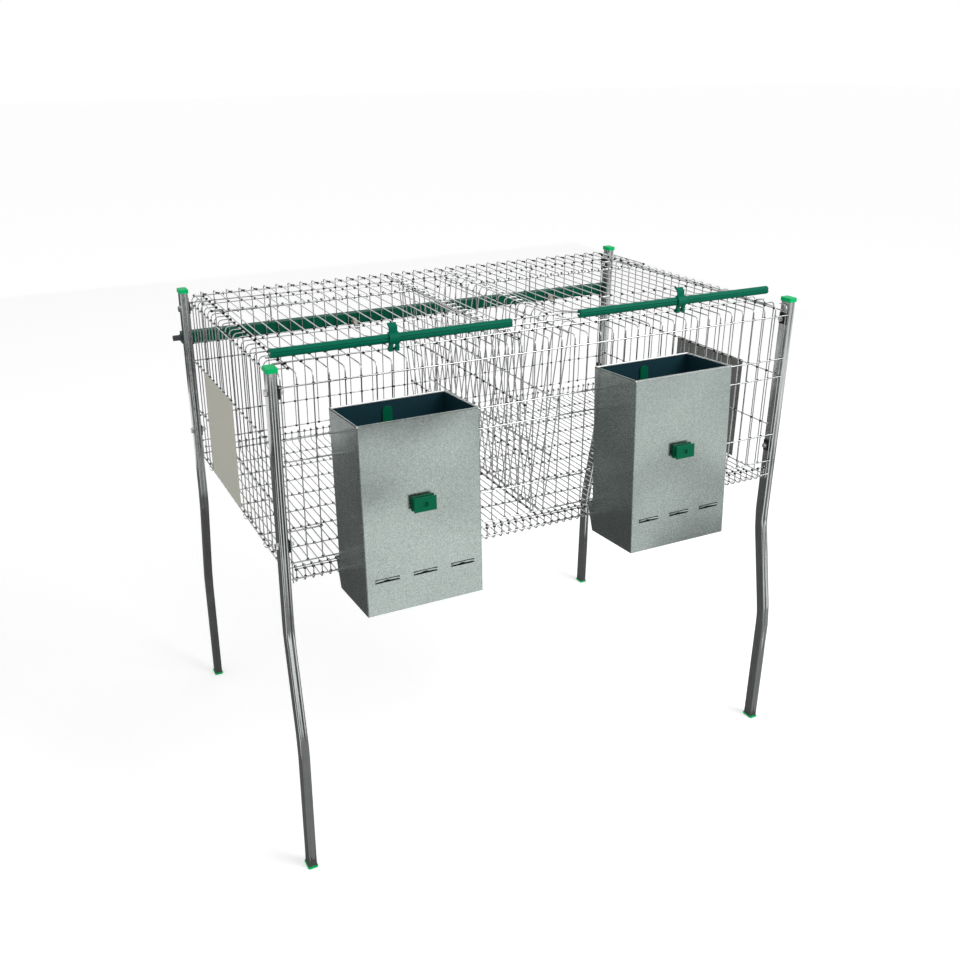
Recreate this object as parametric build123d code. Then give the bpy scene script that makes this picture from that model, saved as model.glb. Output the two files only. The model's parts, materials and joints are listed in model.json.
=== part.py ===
from build123d import *

import os
from math import acos, atan2, cos, degrees, hypot, radians, sin, sqrt

# Frame: millimetres, X to the right, Y to the back, Z up, origin on the ground between the four legs.

# Wire stock and clearances
PITCH = 25.0                # spacing of the wires in the walls, racks and lids
FLOOR_PITCH = 14.0          # spacing of the floor wires
CROSS_PITCH = 69.0          # spacing of the wires under the floor
WIRE = 2.0                  # diameter of the mesh wires
CARRIER = 2.5               # diameter of the wires that carry the mesh
ROD = 4.0                   # diameter of the lid hinge rods
RING_WIRE = 1.6             # diameter of the rings that tie panels together
WELD = 0.02                 # welded wires touch at this distance
RUN = 0.3                   # clearance between pieces that move past each other
BEND = 8.0                  # centreline radius of the bends at the top of the walls

# Cage
HALF_X = 475.0              # middle to the side wall wires
HALF_Y = 294.5              # middle to the front and rear wall wires
TOP_Z = 872.0               # height of the flanges round the top
FLOOR_Z = 534.0             # height of the floor wires
FLOOR_UPTURN = 26.0         # turned-up edge of the floor
FLOOR_EDGE_LIFT = 8.0       # outer wire on that edge, above the floor
FLOOR_TIE_LIFT = 22.0       # inner wire on that edge, above the floor
FLOOR_BEND = 6.0
FRONT_FLANGE = 53.5         # front wall wires to the flange wire that the latches grip
FLANGE_EDGE = 88.5          # the same to the wire along the flange's free edge
CORNER_FLANGE = 18.0        # flange of the two corner wires
FLANGE_WIRE_OVER = 20.0     # flange wires beyond the last wall wire
REAR_FLANGE = 25.2          # rear wall wires to the wire along their flange's free edge
REAR_BEND = 5.0
UPPER_WIRE_Z = 854.0        # the drinker pipe hangs on this wire of the rear wall
HANGING_WIRE_Z = 773.0      # the feeders hang on this wire
CUT_TOP_Z = 738.0           # upper edge of the feeding openings
MIDDLE_WIRE_Z = 624.0
LOWER_WIRE_Z = 570.0        # lower edge of the feeding openings
SIDE_DROPS = (12.0, 131.0, 232.0, 333.0)    # carriers of the side walls, below the flange
PANEL_END_GAP = 0.5         # ends of the carriers to the legs
SIDE_FLANGE_GAP = 1.5       # side flange to the next wire of the front flange
SIDE_CARRIER_OVER = 20.5    # side carriers beyond the last side wire

# Hay rack
RACK_TOP_CELLS = 2          # rack walls bend over this many cells from the middle
RACK_FLANGE = 23.5
RACK_DROPS = (12.0, 131.0, 232.0)
RACK_TIE_Y = -200.0

# Fixed strip along the rear of the top
STRIP_SHIFT = 3.5           # strip wires beside the rear wall wires
STRIP_PLAY = 0.05           # strip to the edge wire of the rear flange
STRIP_CROSS = 75.0          # strip's rear cross wire to its middle one
HINGE_REACH = 138.0         # strip's rear cross wire to the lid hinges
HOOK_TAIL = 2.5             # strip wires behind a hinge axis, under the rod
LONG_CELLS = (-2, 0, 2)     # strip wires that run on over the hay rack
LONG_END_Y = -157.0

# Lids
LID_CELLS = 3               # first cell of a lid from the middle
LID_GAP = 2.0               # outer lid wires to the flanges beside them
ROD_OVER = 1.3              # hinge rod beyond the outer lid wires
LID_TAIL = 1.5              # lid wires behind the hinge rod
LID_CROSS = 215.0           # lid cross wire in front of the hinge
LID_LEVEL = 279.0           # level part of a lid, in front of its hinge
LID_BEND = 20.0
BAR = 14.5                  # diameter of the grip bar along a lid's front edge
BAR_INNER = 9.0             # bar beyond the lid's cells, towards the middle and the side
BAR_OUTER = 22.0
BAR_GROOVE = 1.6
BAR_SLOT_PLAY = 0.25
LATCH_CELLS = 11            # latch over this wire of the front flange
LATCH_DROP = 16.0           # bar axis above the flange wire that the latch grips
LATCH_WIDTH = 17.0
LATCH_FORK = 5.5            # gap between the two prongs
LATCH_WALL = 2.4
THUMB_WIDTH = 14.0
THUMB_HEIGHT = 23.5

# Legs
LEG_W = 15.0                # tube across the cage
LEG_D = 22.0                # tube along the sides
LEG_WALL = 1.2
LEG_CORNER = 3.0
LEG_GROOVE_W = 5.0
LEG_GROOVE = 1.0
LEG_SETBACK = 8.5           # leg axis inside the front and rear wires
LEG_SPLAY = 39.0            # offset of the lower leg
SPLAY_TOP_Z = 440.0
SPLAY_FOOT_Z = 243.0
LEG_BEND = 60.0
LEG_TOP_Z = 877.0
CAP_HEAD = 7.5
CAP_OVER = 1.5
PLUG_LENGTH = 14.0
PLUG_PLAY = 0.1
FOOT_HEAD = 3.0
BOLT = 6.0
BOLT_PLAY = 0.2
BOLT_TAIL = 3.0
HEX = 10.0
HEAD_H = 4.0
NUT_H = 5.0
UPPER_BOLT_Z = 846.0
LOWER_BOLT_Z = 598.0
BRACKET_W = 17.4
BRACKET_H = 20.0

# Side plates
PLATE = 200.0
SHEET = 0.8                 # sheet metal of plates and feeders
PLATE_FRONT = -6.0          # front edge of the left plate
PLATE_TAB = 14.0
PLATE_TAB_DROP = 7.0
PLATE_PLAY = 0.05
RING_CELLS = (-6, -1, 9)    # rings of the left wall, in cells from the middle
TOP_RING_CELLS = (-17, -9, -1, 7, 16)        # rings along the rear of the top
RING_OPEN = 30.0

# Feeders
FEEDER_INSET_CELLS = 1          # left feeding opening in from the last front wire, in cells
CUT_CELLS = 4.5                 # half width of a feeding opening, in cells
FEEDER_SHIFT = 3.25             # feeder towards the middle from its opening
FEEDER_W = 191.0
FEEDER_D = 115.0
FEEDER_H = 295.0
FEEDER_TOP_Z = 814.0
FEEDER_TILT = 3.7               # degrees, foot away from the cage
FEEDER_GAP = 0.48               # feeder's back to the front wall
FEEDER_HEM = 9.0
FEEDER_FOLD = 1.6
BACK_H = 82.0                   # upper back plate
CHUTE_RISE = 65.0               # end of the sloping chute, above the bottom
CHUTE_MOUTH = 40.0              # gap between the chute and the front
LIP_H = 50.0                    # trough lip, above the bottom
LIP_BEAD = 1.6
SLIT_L = 39.0
SLIT_H = 1.8
SLIT_PITCH = 62.0
SLIT_STRIP = 4.6
SLIT_RISE = 54.0
HANGER_W = 16.0
HANGER_H = 28.0
HANGER_T = 2.5
HOOK_LEG = 16.0
HOOK_PLAY = 1.6
CLIP_W = 36.0
CLIP_H = 22.0
CLIP_T = 2.4
CLIP_STAND = 6.0
CLIP_NECK = 14.0
CLIP_HOLE = 7.0
CLIP_DROP = 130.0
CLIP_SHIFT = -0.5

# Drinker line
PIPE = 22.0
PIPE_WALL = 2.0
PIPE_CORNER = 2.0
PIPE_GAP = 0.38
PIPE_Z = 784.0
PIPE_OVER = 15.0            # pipe past the side walls
PIPE_CAP = 3.0
SPIGOT = 11.0
SPIGOT_BORE = 7.0
SPIGOT_OUT = 16.0
SPIGOT_IN = 14.0
SPIGOT_COLLAR = 13.0
PIPE_HANGER = 3.0
PIPE_HANGER_CELLS = (-12.5, 11.5)
PIPE_HANGER_TAIL = 8.0
PIPE_HANGER_FOOT = 18.0
PIPE_HANGER_BEND = 2.0
NIPPLE_CELLS = (-5.5, 13.5)
NIPPLE_DIP = 30.0
NIPPLE_STEM = 8.0
NIPPLE_STEM_IN = 6.0
NIPPLE_COLLAR_AT = 4.5
NIPPLE_COLLAR = 12.0
NIPPLE_COLLAR_H = 5.5
NIPPLE_BARREL = 10.0
NIPPLE_BARREL_L = 16.0
NIPPLE_PIN = 3.0
NIPPLE_PIN_OUT = 7.0
NIPPLE_PIN_IN = 14.0
NIPPLE_TRAVEL = 2.0
FIT = 0.05

# Places worked out from the values above
SIDES = {"left": -1, "right": 1}
CROSSING = (WIRE + CARRIER) / 2 + WELD
PANEL_SKIN = HALF_Y + CROSSING + CARRIER / 2
LAST_X = PITCH * int((HALF_X - PITCH / 2) / PITCH)
GRID_X = [PITCH * i for i in range(-round(LAST_X / PITCH), round(LAST_X / PITCH) + 1)]
FLANGE_WIRE_Y = -HALF_Y + FRONT_FLANGE
FLANGE_WIRE_Z = TOP_Z + CROSSING
LEG_FACE_X = HALF_X + CROSSING + CARRIER / 2 + WELD
LEG_CX = LEG_FACE_X + LEG_W / 2
LEG_CY = HALF_Y - LEG_SETBACK
FLANGE_END = LAST_X + FLANGE_WIRE_OVER
STRIP_Z = TOP_Z + WIRE + WELD
REAR_EDGE_Y = HALF_Y - REAR_FLANGE
REAR_EDGE_Z = STRIP_Z - CROSSING
STRIP_Y = REAR_EDGE_Y - (CARRIER + WIRE) / 2 - STRIP_PLAY
HOOK_BEND = ROD / 2 + RUN + WIRE / 2
HINGE_Y = STRIP_Y - HINGE_REACH
HINGE_Z = STRIP_Z - HOOK_BEND
LID_Z = HINGE_Z + (ROD + WIRE) / 2 + WELD
LID_INNER = RACK_TOP_CELLS * PITCH + RACK_FLANGE + LID_GAP
LID_OUTER = LAST_X + SIDE_FLANGE_GAP - LID_GAP
RISE_Y = HINGE_Y - LID_LEVEL
BAR_Y = FLANGE_WIRE_Y
BAR_Z = FLANGE_WIRE_Z + LATCH_DROP
LID_RISE = atan2(BAR_Z - LID_Z, RISE_Y - BAR_Y)
FEEDER_Y = -PANEL_SKIN - FEEDER_GAP
PIPE_FACE_Y = PANEL_SKIN + PIPE_GAP
PIPE_CY = PIPE_FACE_Y + PIPE / 2
PIPE_HALF = HALF_X + PIPE_OVER
FEEDER_CELLS = (FEEDER_INSET_CELLS + CUT_CELLS - LAST_X / PITCH, RACK_TOP_CELLS + CUT_CELLS)
CHUTE_FOOT = FEEDER_H - CHUTE_RISE
LIP_TOP = FEEDER_H - LIP_H


def half_grid(half_span, pitch):
    """Places half a pitch either side of the middle and on by whole pitches."""
    count = int(half_span / pitch + 0.5)
    return [pitch * (i + 0.5) for i in range(-count, count)]


WALL_Y = half_grid(HALF_Y - 2 * BEND, PITCH)
FLOOR_X = half_grid(HALF_X - 3 * WIRE, FLOOR_PITCH)


def group(pieces):
    """One shape that holds each piece as a solid of its own."""
    return Compound([solid for piece in pieces for solid in piece.solids()])


def bar_x(x0, x1, y, z, diameter):
    """Straight round bar along X."""
    return Pos((x0 + x1) / 2, y, z) * Rot(Y=90) * Cylinder(diameter / 2, abs(x1 - x0))


def bar_y(x, y0, y1, z, diameter):
    """Straight round bar along Y."""
    return Pos(x, (y0 + y1) / 2, z) * Rot(X=90) * Cylinder(diameter / 2, abs(y1 - y0))


def wire_along(path, diameter):
    """Round wire along a path."""
    return sweep(Plane(origin=path @ 0, z_dir=path % 0) * Circle(diameter / 2), path=path)


def bent_wire(points, bend, diameter):
    """Round wire through the points, with every corner bent to one radius."""
    return wire_along(FilletPolyline(*points, radius=bend), diameter)


def prism_x(points, width):
    """Outline of (y, z) points, extruded evenly to both sides along X."""
    return extrude(Plane.YZ * Polygon(*points, align=None), amount=width / 2, both=True)


def block(x0, x1, y0, y1, z0, z1):
    """Box between two corners."""
    return Pos((x0 + x1) / 2, (y0 + y1) / 2, (z0 + z1) / 2) * Box(x1 - x0, y1 - y0, z1 - z0)


def mirrored(pieces):
    """The same pieces on the other side of the middle."""
    return [mirror(piece, about=Plane.YZ) for piece in pieces]


# Cage panels

def behind_feeder(x):
    """True for a wall wire that a feeding opening cuts away."""
    return any(abs(x - cell * PITCH) < CUT_CELLS * PITCH - WIRE for cell in FEEDER_CELLS)


def over_rack_flange(x):
    """True for a wall wire that meets a flange of the hay rack."""
    return abs(abs(x) - RACK_TOP_CELLS * PITCH - RACK_FLANGE / 2) < PITCH


def front_wire(foot, reach):
    """Front wall wire from its foot up and over into the flange."""
    corner = (0, -HALF_Y, TOP_Z)
    return bent_wire([(0, -HALF_Y, foot), corner, (0, -HALF_Y + reach, TOP_Z)], BEND, WIRE)


def panel_carriers(heights, side):
    """Wires along X on the outside of the front or rear wall."""
    end = LEG_FACE_X - PANEL_END_GAP
    return [bar_x(-end, end, side * (HALF_Y + CROSSING), z, CARRIER) for z in heights]


def front_panel():
    """Front wall with its flange and the two feeding openings."""
    pieces = []
    for x in GRID_X:
        foot = CUT_TOP_Z if behind_feeder(x) else LOWER_WIRE_Z
        reach = FRONT_FLANGE if over_rack_flange(x) else FLANGE_EDGE
        pieces.append(Pos(x, 0, 0) * front_wire(foot - CARRIER / 2, reach + CARRIER / 2))
    corner = front_wire(FLOOR_Z, CORNER_FLANGE)
    pieces += [Pos(x, 0, 0) * corner for x in (-HALF_X, HALF_X)]
    pieces += panel_carriers((UPPER_WIRE_Z, HANGING_WIRE_Z, CUT_TOP_Z, LOWER_WIRE_Z), -1)
    end = LEG_FACE_X - PANEL_END_GAP
    edges = sorted((cell + side * CUT_CELLS) * PITCH for cell in FEEDER_CELLS for side in (-1, 1))
    stops = [-end] + [x - side * WIRE for x, side in zip(edges, (-1, 1, -1, 1))] + [end]
    for start, stop in zip(stops[0::2], stops[1::2]):
        pieces.append(bar_x(start, stop, -HALF_Y - CROSSING, MIDDLE_WIRE_Z, CARRIER))
    for y in (FLANGE_WIRE_Y, FLANGE_EDGE - HALF_Y):
        pieces.append(bar_x(-FLANGE_END, FLANGE_END, y, FLANGE_WIRE_Z, CARRIER))
    return group(pieces)


def rear_panel():
    """Rear wall with a short flange turned forwards along its top."""
    foot = LOWER_WIRE_Z - CARRIER / 2
    points = [(0, HALF_Y, foot), (0, HALF_Y, STRIP_Z), (0, REAR_EDGE_Y - CARRIER / 2, STRIP_Z)]
    wire = bent_wire(points, REAR_BEND, WIRE)
    pieces = [Pos(x, 0, 0) * wire for x in GRID_X]
    tall = TOP_Z - BEND - FLOOR_Z
    for x in (-HALF_X, HALF_X):
        pieces.append(Pos(x, HALF_Y, FLOOR_Z + tall / 2) * Cylinder(WIRE / 2, tall))
    pieces.append(bar_x(-FLANGE_END, FLANGE_END, REAR_EDGE_Y, REAR_EDGE_Z, CARRIER))
    heights = (UPPER_WIRE_Z, HANGING_WIRE_Z, CUT_TOP_Z, MIDDLE_WIRE_Z, LOWER_WIRE_Z)
    return group(pieces + panel_carriers(heights, 1))


def hooked_wire():
    """Strip wire that turns down and back round a lid's hinge rod."""
    over = (0, HINGE_Y, STRIP_Z)
    under = (0, HINGE_Y, HINGE_Z - HOOK_BEND)
    path = Wire([
        Line((0, STRIP_Y + WIRE / 2, STRIP_Z), over),
        ThreePointArc(over, (0, HINGE_Y - HOOK_BEND, HINGE_Z), under),
        Line(under, (0, HINGE_Y + HOOK_TAIL, HINGE_Z - HOOK_BEND)),
    ])
    return wire_along(path, WIRE)


def rear_top_panel():
    """Fixed strip along the rear of the top, whose wires hook round the lid rods."""
    hooked = hooked_wire()
    edge = FLANGE_END - WIRE / 2
    rear = STRIP_Y + WIRE / 2
    pieces = []
    for x in [-edge] + [x + STRIP_SHIFT for x in GRID_X] + [edge]:
        if LID_INNER < abs(x) < LID_OUTER:
            pieces.append(Pos(x, 0, 0) * hooked)
        else:
            long = any(abs(x - STRIP_SHIFT - cell * PITCH) < WIRE for cell in LONG_CELLS)
            front = LONG_END_Y if long else HINGE_Y
            pieces.append(bar_y(x, rear, front - WIRE / 2, STRIP_Z, WIRE))
    z = STRIP_Z - WIRE - WELD
    for y in (STRIP_Y, STRIP_Y - STRIP_CROSS):
        pieces.append(bar_x(-FLANGE_END, FLANGE_END, y, z, WIRE))
    middle = LID_INNER - ROD_OVER - WIRE
    for y in (HINGE_Y, LONG_END_Y):
        pieces.append(bar_x(-middle, middle, y, z, WIRE))
    for side in (-1, 1):
        pieces.append(bar_x(side * (LID_OUTER + ROD_OVER + WIRE / 2), side * FLANGE_END, HINGE_Y, z, WIRE))
    return group(pieces)


def flanged_wall(places, drops, lean, reach, over):
    """Wall of bent wires hung from z 0, leaning, with a flange towards +X and carriers on its other side."""
    length = max(drops) + CARRIER / 2
    foot = (-length * sin(lean), 0, -length * cos(lean))
    wire = bent_wire([foot, (0, 0, 0), (reach, 0, 0)], BEND, WIRE)
    pieces = [Pos(0, y, 0) * wire for y in places]
    y0, y1 = places[0] - over, places[-1] + over
    for drop in drops:
        x = -drop * sin(lean) - CROSSING * cos(lean)
        z = -drop * cos(lean) + CROSSING * sin(lean)
        pieces.append(bar_y(x, y0, y1, z, CARRIER))
    edge_over = 1.5 * WIRE
    pieces.append(bar_y(reach - CARRIER / 2, places[0] - edge_over, places[-1] + edge_over, -CROSSING, CARRIER))
    return pieces


def side_wall():
    """Left wall: its flange turns in over the cage."""
    reach = HALF_X - LAST_X - SIDE_FLANGE_GAP
    pieces = flanged_wall(WALL_Y, SIDE_DROPS, 0.0, reach, SIDE_CARRIER_OVER)
    return group([Pos(-HALF_X, 0, TOP_Z) * piece for piece in pieces])


def rack_wall():
    """Right wall of the V-shaped hay rack: it stands on a floor wire and leans out to its flange."""
    top_x = RACK_TOP_CELLS * PITCH
    run = top_x - FLOOR_X[len(FLOOR_X) // 2]
    rise = TOP_Z - FLOOR_Z - CROSSING
    lean = acos(CROSSING / hypot(run, rise)) - atan2(rise, run)
    foot = sqrt(run ** 2 + rise ** 2 - CROSSING ** 2)
    clear_y = FLANGE_WIRE_Y + CARRIER / 2 + WIRE / 2
    places = [y for y in WALL_Y if y > clear_y]
    pieces = flanged_wall(places, RACK_DROPS + (foot,), lean, RACK_FLANGE, 1.5 * WIRE)
    return [Pos(top_x, 0, TOP_Z) * piece for piece in pieces]


def rack_tie():
    """Wire across the mouth of the hay rack, on the edge wires of its two flanges."""
    reach = RACK_TOP_CELLS * PITCH + RACK_FLANGE
    z = TOP_Z - CROSSING + (CARRIER + WIRE) / 2 + WELD
    return bar_x(-reach, reach, RACK_TIE_Y, z, WIRE)


def floor_panel():
    """Close-set floor wires, turned up at front and back, on cross wires."""
    rim = FLOOR_Z + FLOOR_UPTURN
    points = [(0, -HALF_Y, rim), (0, -HALF_Y, FLOOR_Z), (0, HALF_Y, FLOOR_Z), (0, HALF_Y, rim)]
    wire = bent_wire(points, FLOOR_BEND, WIRE)
    pieces = [Pos(x, 0, 0) * wire for x in FLOOR_X]
    end = FLOOR_X[-1] + WIRE
    for y in half_grid(HALF_Y - CROSS_PITCH / 2, CROSS_PITCH):
        pieces.append(bar_x(-end, end, y, FLOOR_Z - WIRE - WELD, WIRE))
    for side in (-1, 1):
        pieces += panel_carriers((FLOOR_Z + FLOOR_EDGE_LIFT,), side)
        pieces.append(bar_x(-end, end, side * (HALF_Y - WIRE - WELD), FLOOR_Z + FLOOR_TIE_LIFT, WIRE))
    return group(pieces)


def tie_ring(distance):
    """Open ring round two wires whose axes are this far apart."""
    radius = (distance + CARRIER + RING_WIRE) / 2 + WELD
    return Torus(radius, RING_WIRE / 2, major_angle=360 - RING_OPEN)


def panel_rings():
    """Open rings that tie the side walls to the floor and the strip on top to the rear wall."""
    wall_x, wall_z = HALF_X + CROSSING, TOP_Z - max(SIDE_DROPS)
    floor_x = FLOOR_X[-1]
    ring = Rot(X=90) * tie_ring(hypot(wall_x - floor_x, wall_z - FLOOR_Z))
    middle = Pos((wall_x + floor_x) / 2, 0, (wall_z + FLOOR_Z) / 2)
    right = [Pos(0, -cell * PITCH, 0) * middle * ring for cell in RING_CELLS]
    strip_z = STRIP_Z - WIRE - WELD
    ring = Rot(Y=90) * tie_ring(hypot(REAR_EDGE_Y - STRIP_Y, REAR_EDGE_Z - strip_z))
    middle = Pos(0, (REAR_EDGE_Y + STRIP_Y) / 2, (REAR_EDGE_Z + strip_z) / 2)
    top = [Pos((cell + 0.5) * PITCH, 0, 0) * middle * ring for cell in TOP_RING_CELLS]
    return group(right + [Rot(Z=180) * piece for piece in right] + top)


def side_plate():
    """Left sheet plate, hooked over a carrier of the side wall by two tabs."""
    inner = HALF_X + CROSSING + CARRIER / 2 + PLATE_PLAY
    wire_z = TOP_Z - SIDE_DROPS[1]
    top = wire_z + CARRIER / 2 + PLATE_PLAY
    back = HALF_X + CROSSING - CARRIER / 2 - PLATE_PLAY
    plate = block(-inner - SHEET, -inner, PLATE_FRONT, PLATE_FRONT + PLATE, top + SHEET - PLATE, top + SHEET)
    first = PITCH * (int(PLATE_FRONT / PITCH) + 1)
    for y in (first, first + PITCH * (int(PLATE / PITCH) - 2)):
        y0, y1 = y - PLATE_TAB / 2, y + PLATE_TAB / 2
        plate += block(-inner - SHEET, -back + SHEET, y0, y1, top, top + SHEET)
        plate += block(-back, -back + SHEET, y0, y1, top - PLATE_TAB_DROP, top + SHEET)
    return plate


# Lids

def lid_mesh(side):
    """Lid wires on the hinge rod, level and then rising to the bar, with a cross wire under them."""
    cells = [PITCH * (i + 0.5) for i in range(LID_CELLS, round(LAST_X / PITCH))]
    points = [(0, HINGE_Y + LID_TAIL, LID_Z), (0, RISE_Y, LID_Z), (0, BAR_Y, BAR_Z)]
    wire = bent_wire(points, LID_BEND, WIRE)
    pieces = [Pos(side * x, 0, 0) * wire for x in [LID_INNER] + cells + [LID_OUTER]]
    pieces.append(bar_x(side * (LID_INNER - ROD_OVER), side * (LID_OUTER + ROD_OVER), HINGE_Y, HINGE_Z, ROD))
    cross_z = LID_Z - WIRE - WELD
    x0, x1 = side * (LID_INNER - WIRE / 2), side * (LID_OUTER + WIRE / 2)
    pieces.append(bar_x(x0, x1, HINGE_Y - LID_CROSS, cross_z, WIRE))
    return group(pieces)


def lid_bar(side):
    """Grooved grip bar, slotted onto the front ends of the lid wires."""
    radius = BAR / 2
    slot = WIRE + 2 * BAR_SLOT_PLAY
    slot_end = WIRE / 2
    outline = Circle(radius) - Pos((radius - slot_end) / 2, 0) * Rectangle(radius + slot_end, slot)
    outline -= Pos(-radius, 0) * Circle(BAR_GROOVE)
    x0, x1 = LID_CELLS * PITCH - BAR_INNER, LAST_X + BAR_OUTER
    bar = extrude(Plane.YZ * outline, amount=x1 - x0)
    return Pos(min(side * x0, side * x1), BAR_Y, BAR_Z) * Rot(X=-degrees(LID_RISE)) * bar


def latch(side):
    """Latch that turns on the bar: saddle, thumb tab and two prongs that grip the flange wire."""
    inner = BAR / 2 + RUN
    outer = inner + LATCH_WALL
    grip = CARRIER / 2 + RUN
    lip = grip + LATCH_WALL
    first, last = radians(75), radians(260)
    middle = (first + last) / 2

    def at(radius, angle):
        return radius * cos(angle), radius * sin(angle)

    rim = ThreePointArc(at(outer, first), at(outer, middle), at(outer, last))
    bore = ThreePointArc(at(inner, first), at(inner, middle), at(inner, last))
    ends = [Line(at(inner, angle), at(outer, angle)) for angle in (first, last)]
    saddle = extrude(Plane.YZ * make_face([rim, bore] + ends), amount=LATCH_WIDTH / 2, both=True)
    neck = (inner + outer) / 2
    knee = THUMB_HEIGHT - 2.5 * LATCH_WALL
    thumb_points = [(-LATCH_WALL, neck), (-LATCH_WALL, knee), (neck / 2, THUMB_HEIGHT)]
    thumb_points += [(neck / 2 + LATCH_WALL, THUMB_HEIGHT - LATCH_WALL), (0, knee - LATCH_WALL / 2), (0, neck)]
    body = saddle + prism_x(thumb_points, THUMB_WIDTH)
    front = -grip - 1.8 * LATCH_WALL
    prong_points = [(front, -neck * 0.75), (front, -LATCH_DROP - lip), (lip * 0.6, -LATCH_DROP - lip)]
    prong_points += [(lip * 0.6, -LATCH_DROP - grip), (-grip, -LATCH_DROP - grip), (-grip, -LATCH_DROP + grip)]
    prong_points += [(lip * 0.6, -LATCH_DROP + grip), (-grip, -LATCH_DROP + lip), (-grip, -neck)]
    prong_width = (LATCH_WIDTH - LATCH_FORK) / 2
    for x in (-1, 1):
        body += Pos(x * (LATCH_FORK + prong_width) / 2, 0, 0) * prism_x(prong_points, prong_width)
    return Pos(side * LATCH_CELLS * PITCH, BAR_Y, BAR_Z) * body


# Legs

def leg_section(width, depth, corner):
    """Rounded outline of the leg tube, seen from above."""
    return RectangleRounded(width, depth, corner)


def leg():
    """Right rear leg: grooved tube that steps outwards below the cage."""
    splayed = LEG_CY + LEG_SPLAY
    points = [(0, splayed, FOOT_HEAD), (0, splayed, SPLAY_FOOT_Z), (0, LEG_CY, SPLAY_TOP_Z), (0, LEG_CY, LEG_TOP_Z)]
    path = FilletPolyline(*points, radius=LEG_BEND)
    outline = leg_section(LEG_W, LEG_D, LEG_CORNER)
    for side in (-1, 1):
        outline -= Pos(0, side * LEG_D / 2) * Rectangle(LEG_GROOVE_W, 2 * LEG_GROOVE)
    plane = Plane(origin=path @ 0, x_dir=(1, 0, 0), z_dir=path % 0)
    tube = sweep(plane * outline, path=path) - sweep(plane * leg_bore(0.0), path=path)
    for z in (UPPER_BOLT_Z, LOWER_BOLT_Z):
        tube -= bar_x(-LEG_W, LEG_W, LEG_CY, z, BOLT + 2 * BOLT_PLAY)
    return Pos(LEG_CX, 0, 0) * tube


def leg_bore(play):
    """Inside of the leg tube, or a plug that fits it with some play."""
    wall = LEG_WALL + LEG_GROOVE
    return leg_section(LEG_W - 2 * (LEG_WALL + play), LEG_D - 2 * (wall + play), LEG_CORNER - LEG_WALL)


def leg_end(y, z, head, way):
    """Plastic cap with a plug: way is 1 for a cap on top and -1 for a foot."""
    cap = extrude(leg_section(LEG_W + 2 * CAP_OVER, LEG_D + 2 * CAP_OVER, LEG_CORNER), amount=way * head)
    if way > 0:
        cap = chamfer(cap.faces().sort_by(Axis.Z)[-1].edges(), CAP_OVER / 2)
    cap += extrude(leg_bore(PLUG_PLAY), amount=-way * PLUG_LENGTH)
    return Pos(LEG_CX, y, z) * cap


def at_corners(piece):
    """The right rear piece and its three mirror images, by corner."""
    left = mirror(piece, about=Plane.YZ)
    return {
        "rear_right": piece,
        "rear_left": left,
        "front_right": mirror(piece, about=Plane.XZ),
        "front_left": mirror(left, about=Plane.XZ),
    }


def hexagon(height, x):
    """Hexagon head or nut along X from its lower face."""
    return Pos(x, 0, 0) * Rot(Y=90) * extrude(RegularPolygon(HEX / 2, 6, major_radius=False), amount=height)


def corner_hardware(kind):
    """Bolts, nuts or brackets of all four legs, each at two heights."""
    plate_x = HALF_X + WIRE / 2 + 2 * WELD
    leg_x = LEG_FACE_X + LEG_W
    if kind == "bolt":
        tail = plate_x - NUT_H - BOLT_TAIL
        piece = bar_x(tail, leg_x, 0, 0, BOLT) + hexagon(HEAD_H, leg_x)
    elif kind == "nut":
        piece = hexagon(NUT_H, plate_x - NUT_H) - bar_x(0, leg_x, 0, 0, BOLT + 2 * WELD)
    else:
        face = HALF_Y + WIRE / 2 - 2 * FIT - LEG_CY
        piece = block(plate_x, LEG_FACE_X - WELD, face - BRACKET_W, face, -BRACKET_H / 2, BRACKET_H / 2)
        piece -= bar_x(0, leg_x, 0, 0, BOLT + 2 * BOLT_PLAY)
    placed = []
    for z in (UPPER_BOLT_Z, LOWER_BOLT_Z):
        placed += at_corners(Pos(0, LEG_CY, z) * piece).values()
    return group(placed)


# Feeders

def feeder_place(side):
    """Place of a feeder's own frame: its top back edge, tilted."""
    cell = FEEDER_CELLS[0] if side < 0 else FEEDER_CELLS[1]
    return Pos(cell * PITCH - side * FEEDER_SHIFT, FEEDER_Y, FEEDER_TOP_Z) * Rot(X=-FEEDER_TILT)


def in_feeder(y, z):
    """A place in the cage's frame as depth and height in a feeder's own frame."""
    tilt = radians(FEEDER_TILT)
    dy, dz = y - FEEDER_Y, z - FEEDER_TOP_Z
    return dy * cos(tilt) - dz * sin(tilt), dy * sin(tilt) + dz * cos(tilt)


def feeder_shell():
    """Front, sides and bottom of the hopper, folded from one sheet, with hemmed rims and three lanced slits."""
    half = FEEDER_W / 2
    outer = block(-half, half, -FEEDER_D, 0, -FEEDER_H, 0)
    front = outer.edges().filter_by(Axis.Z).sort_by(Axis.Y)[:2]
    outer = fillet(front, FEEDER_FOLD)
    room = block(SHEET - half, half - SHEET, SHEET - FEEDER_D, SHEET, SHEET - FEEDER_H, SHEET)
    hem = 2 * SHEET
    neck = block(hem - half, half - hem, hem - FEEDER_D, SHEET, -FEEDER_H / 2, SHEET)
    below_hem = block(-half, half, -FEEDER_D, 0, -FEEDER_H, -FEEDER_HEM)
    shell = outer - (room & below_hem) - neck
    for i in (-1, 0, 1):
        for lift in (-SLIT_STRIP / 2, SLIT_STRIP / 2):
            z = SLIT_RISE - FEEDER_H + lift
            shell -= Pos(i * SLIT_PITCH, -FEEDER_D, z) * Box(SLIT_L, 4 * SHEET, SLIT_H)
    return shell


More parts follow.
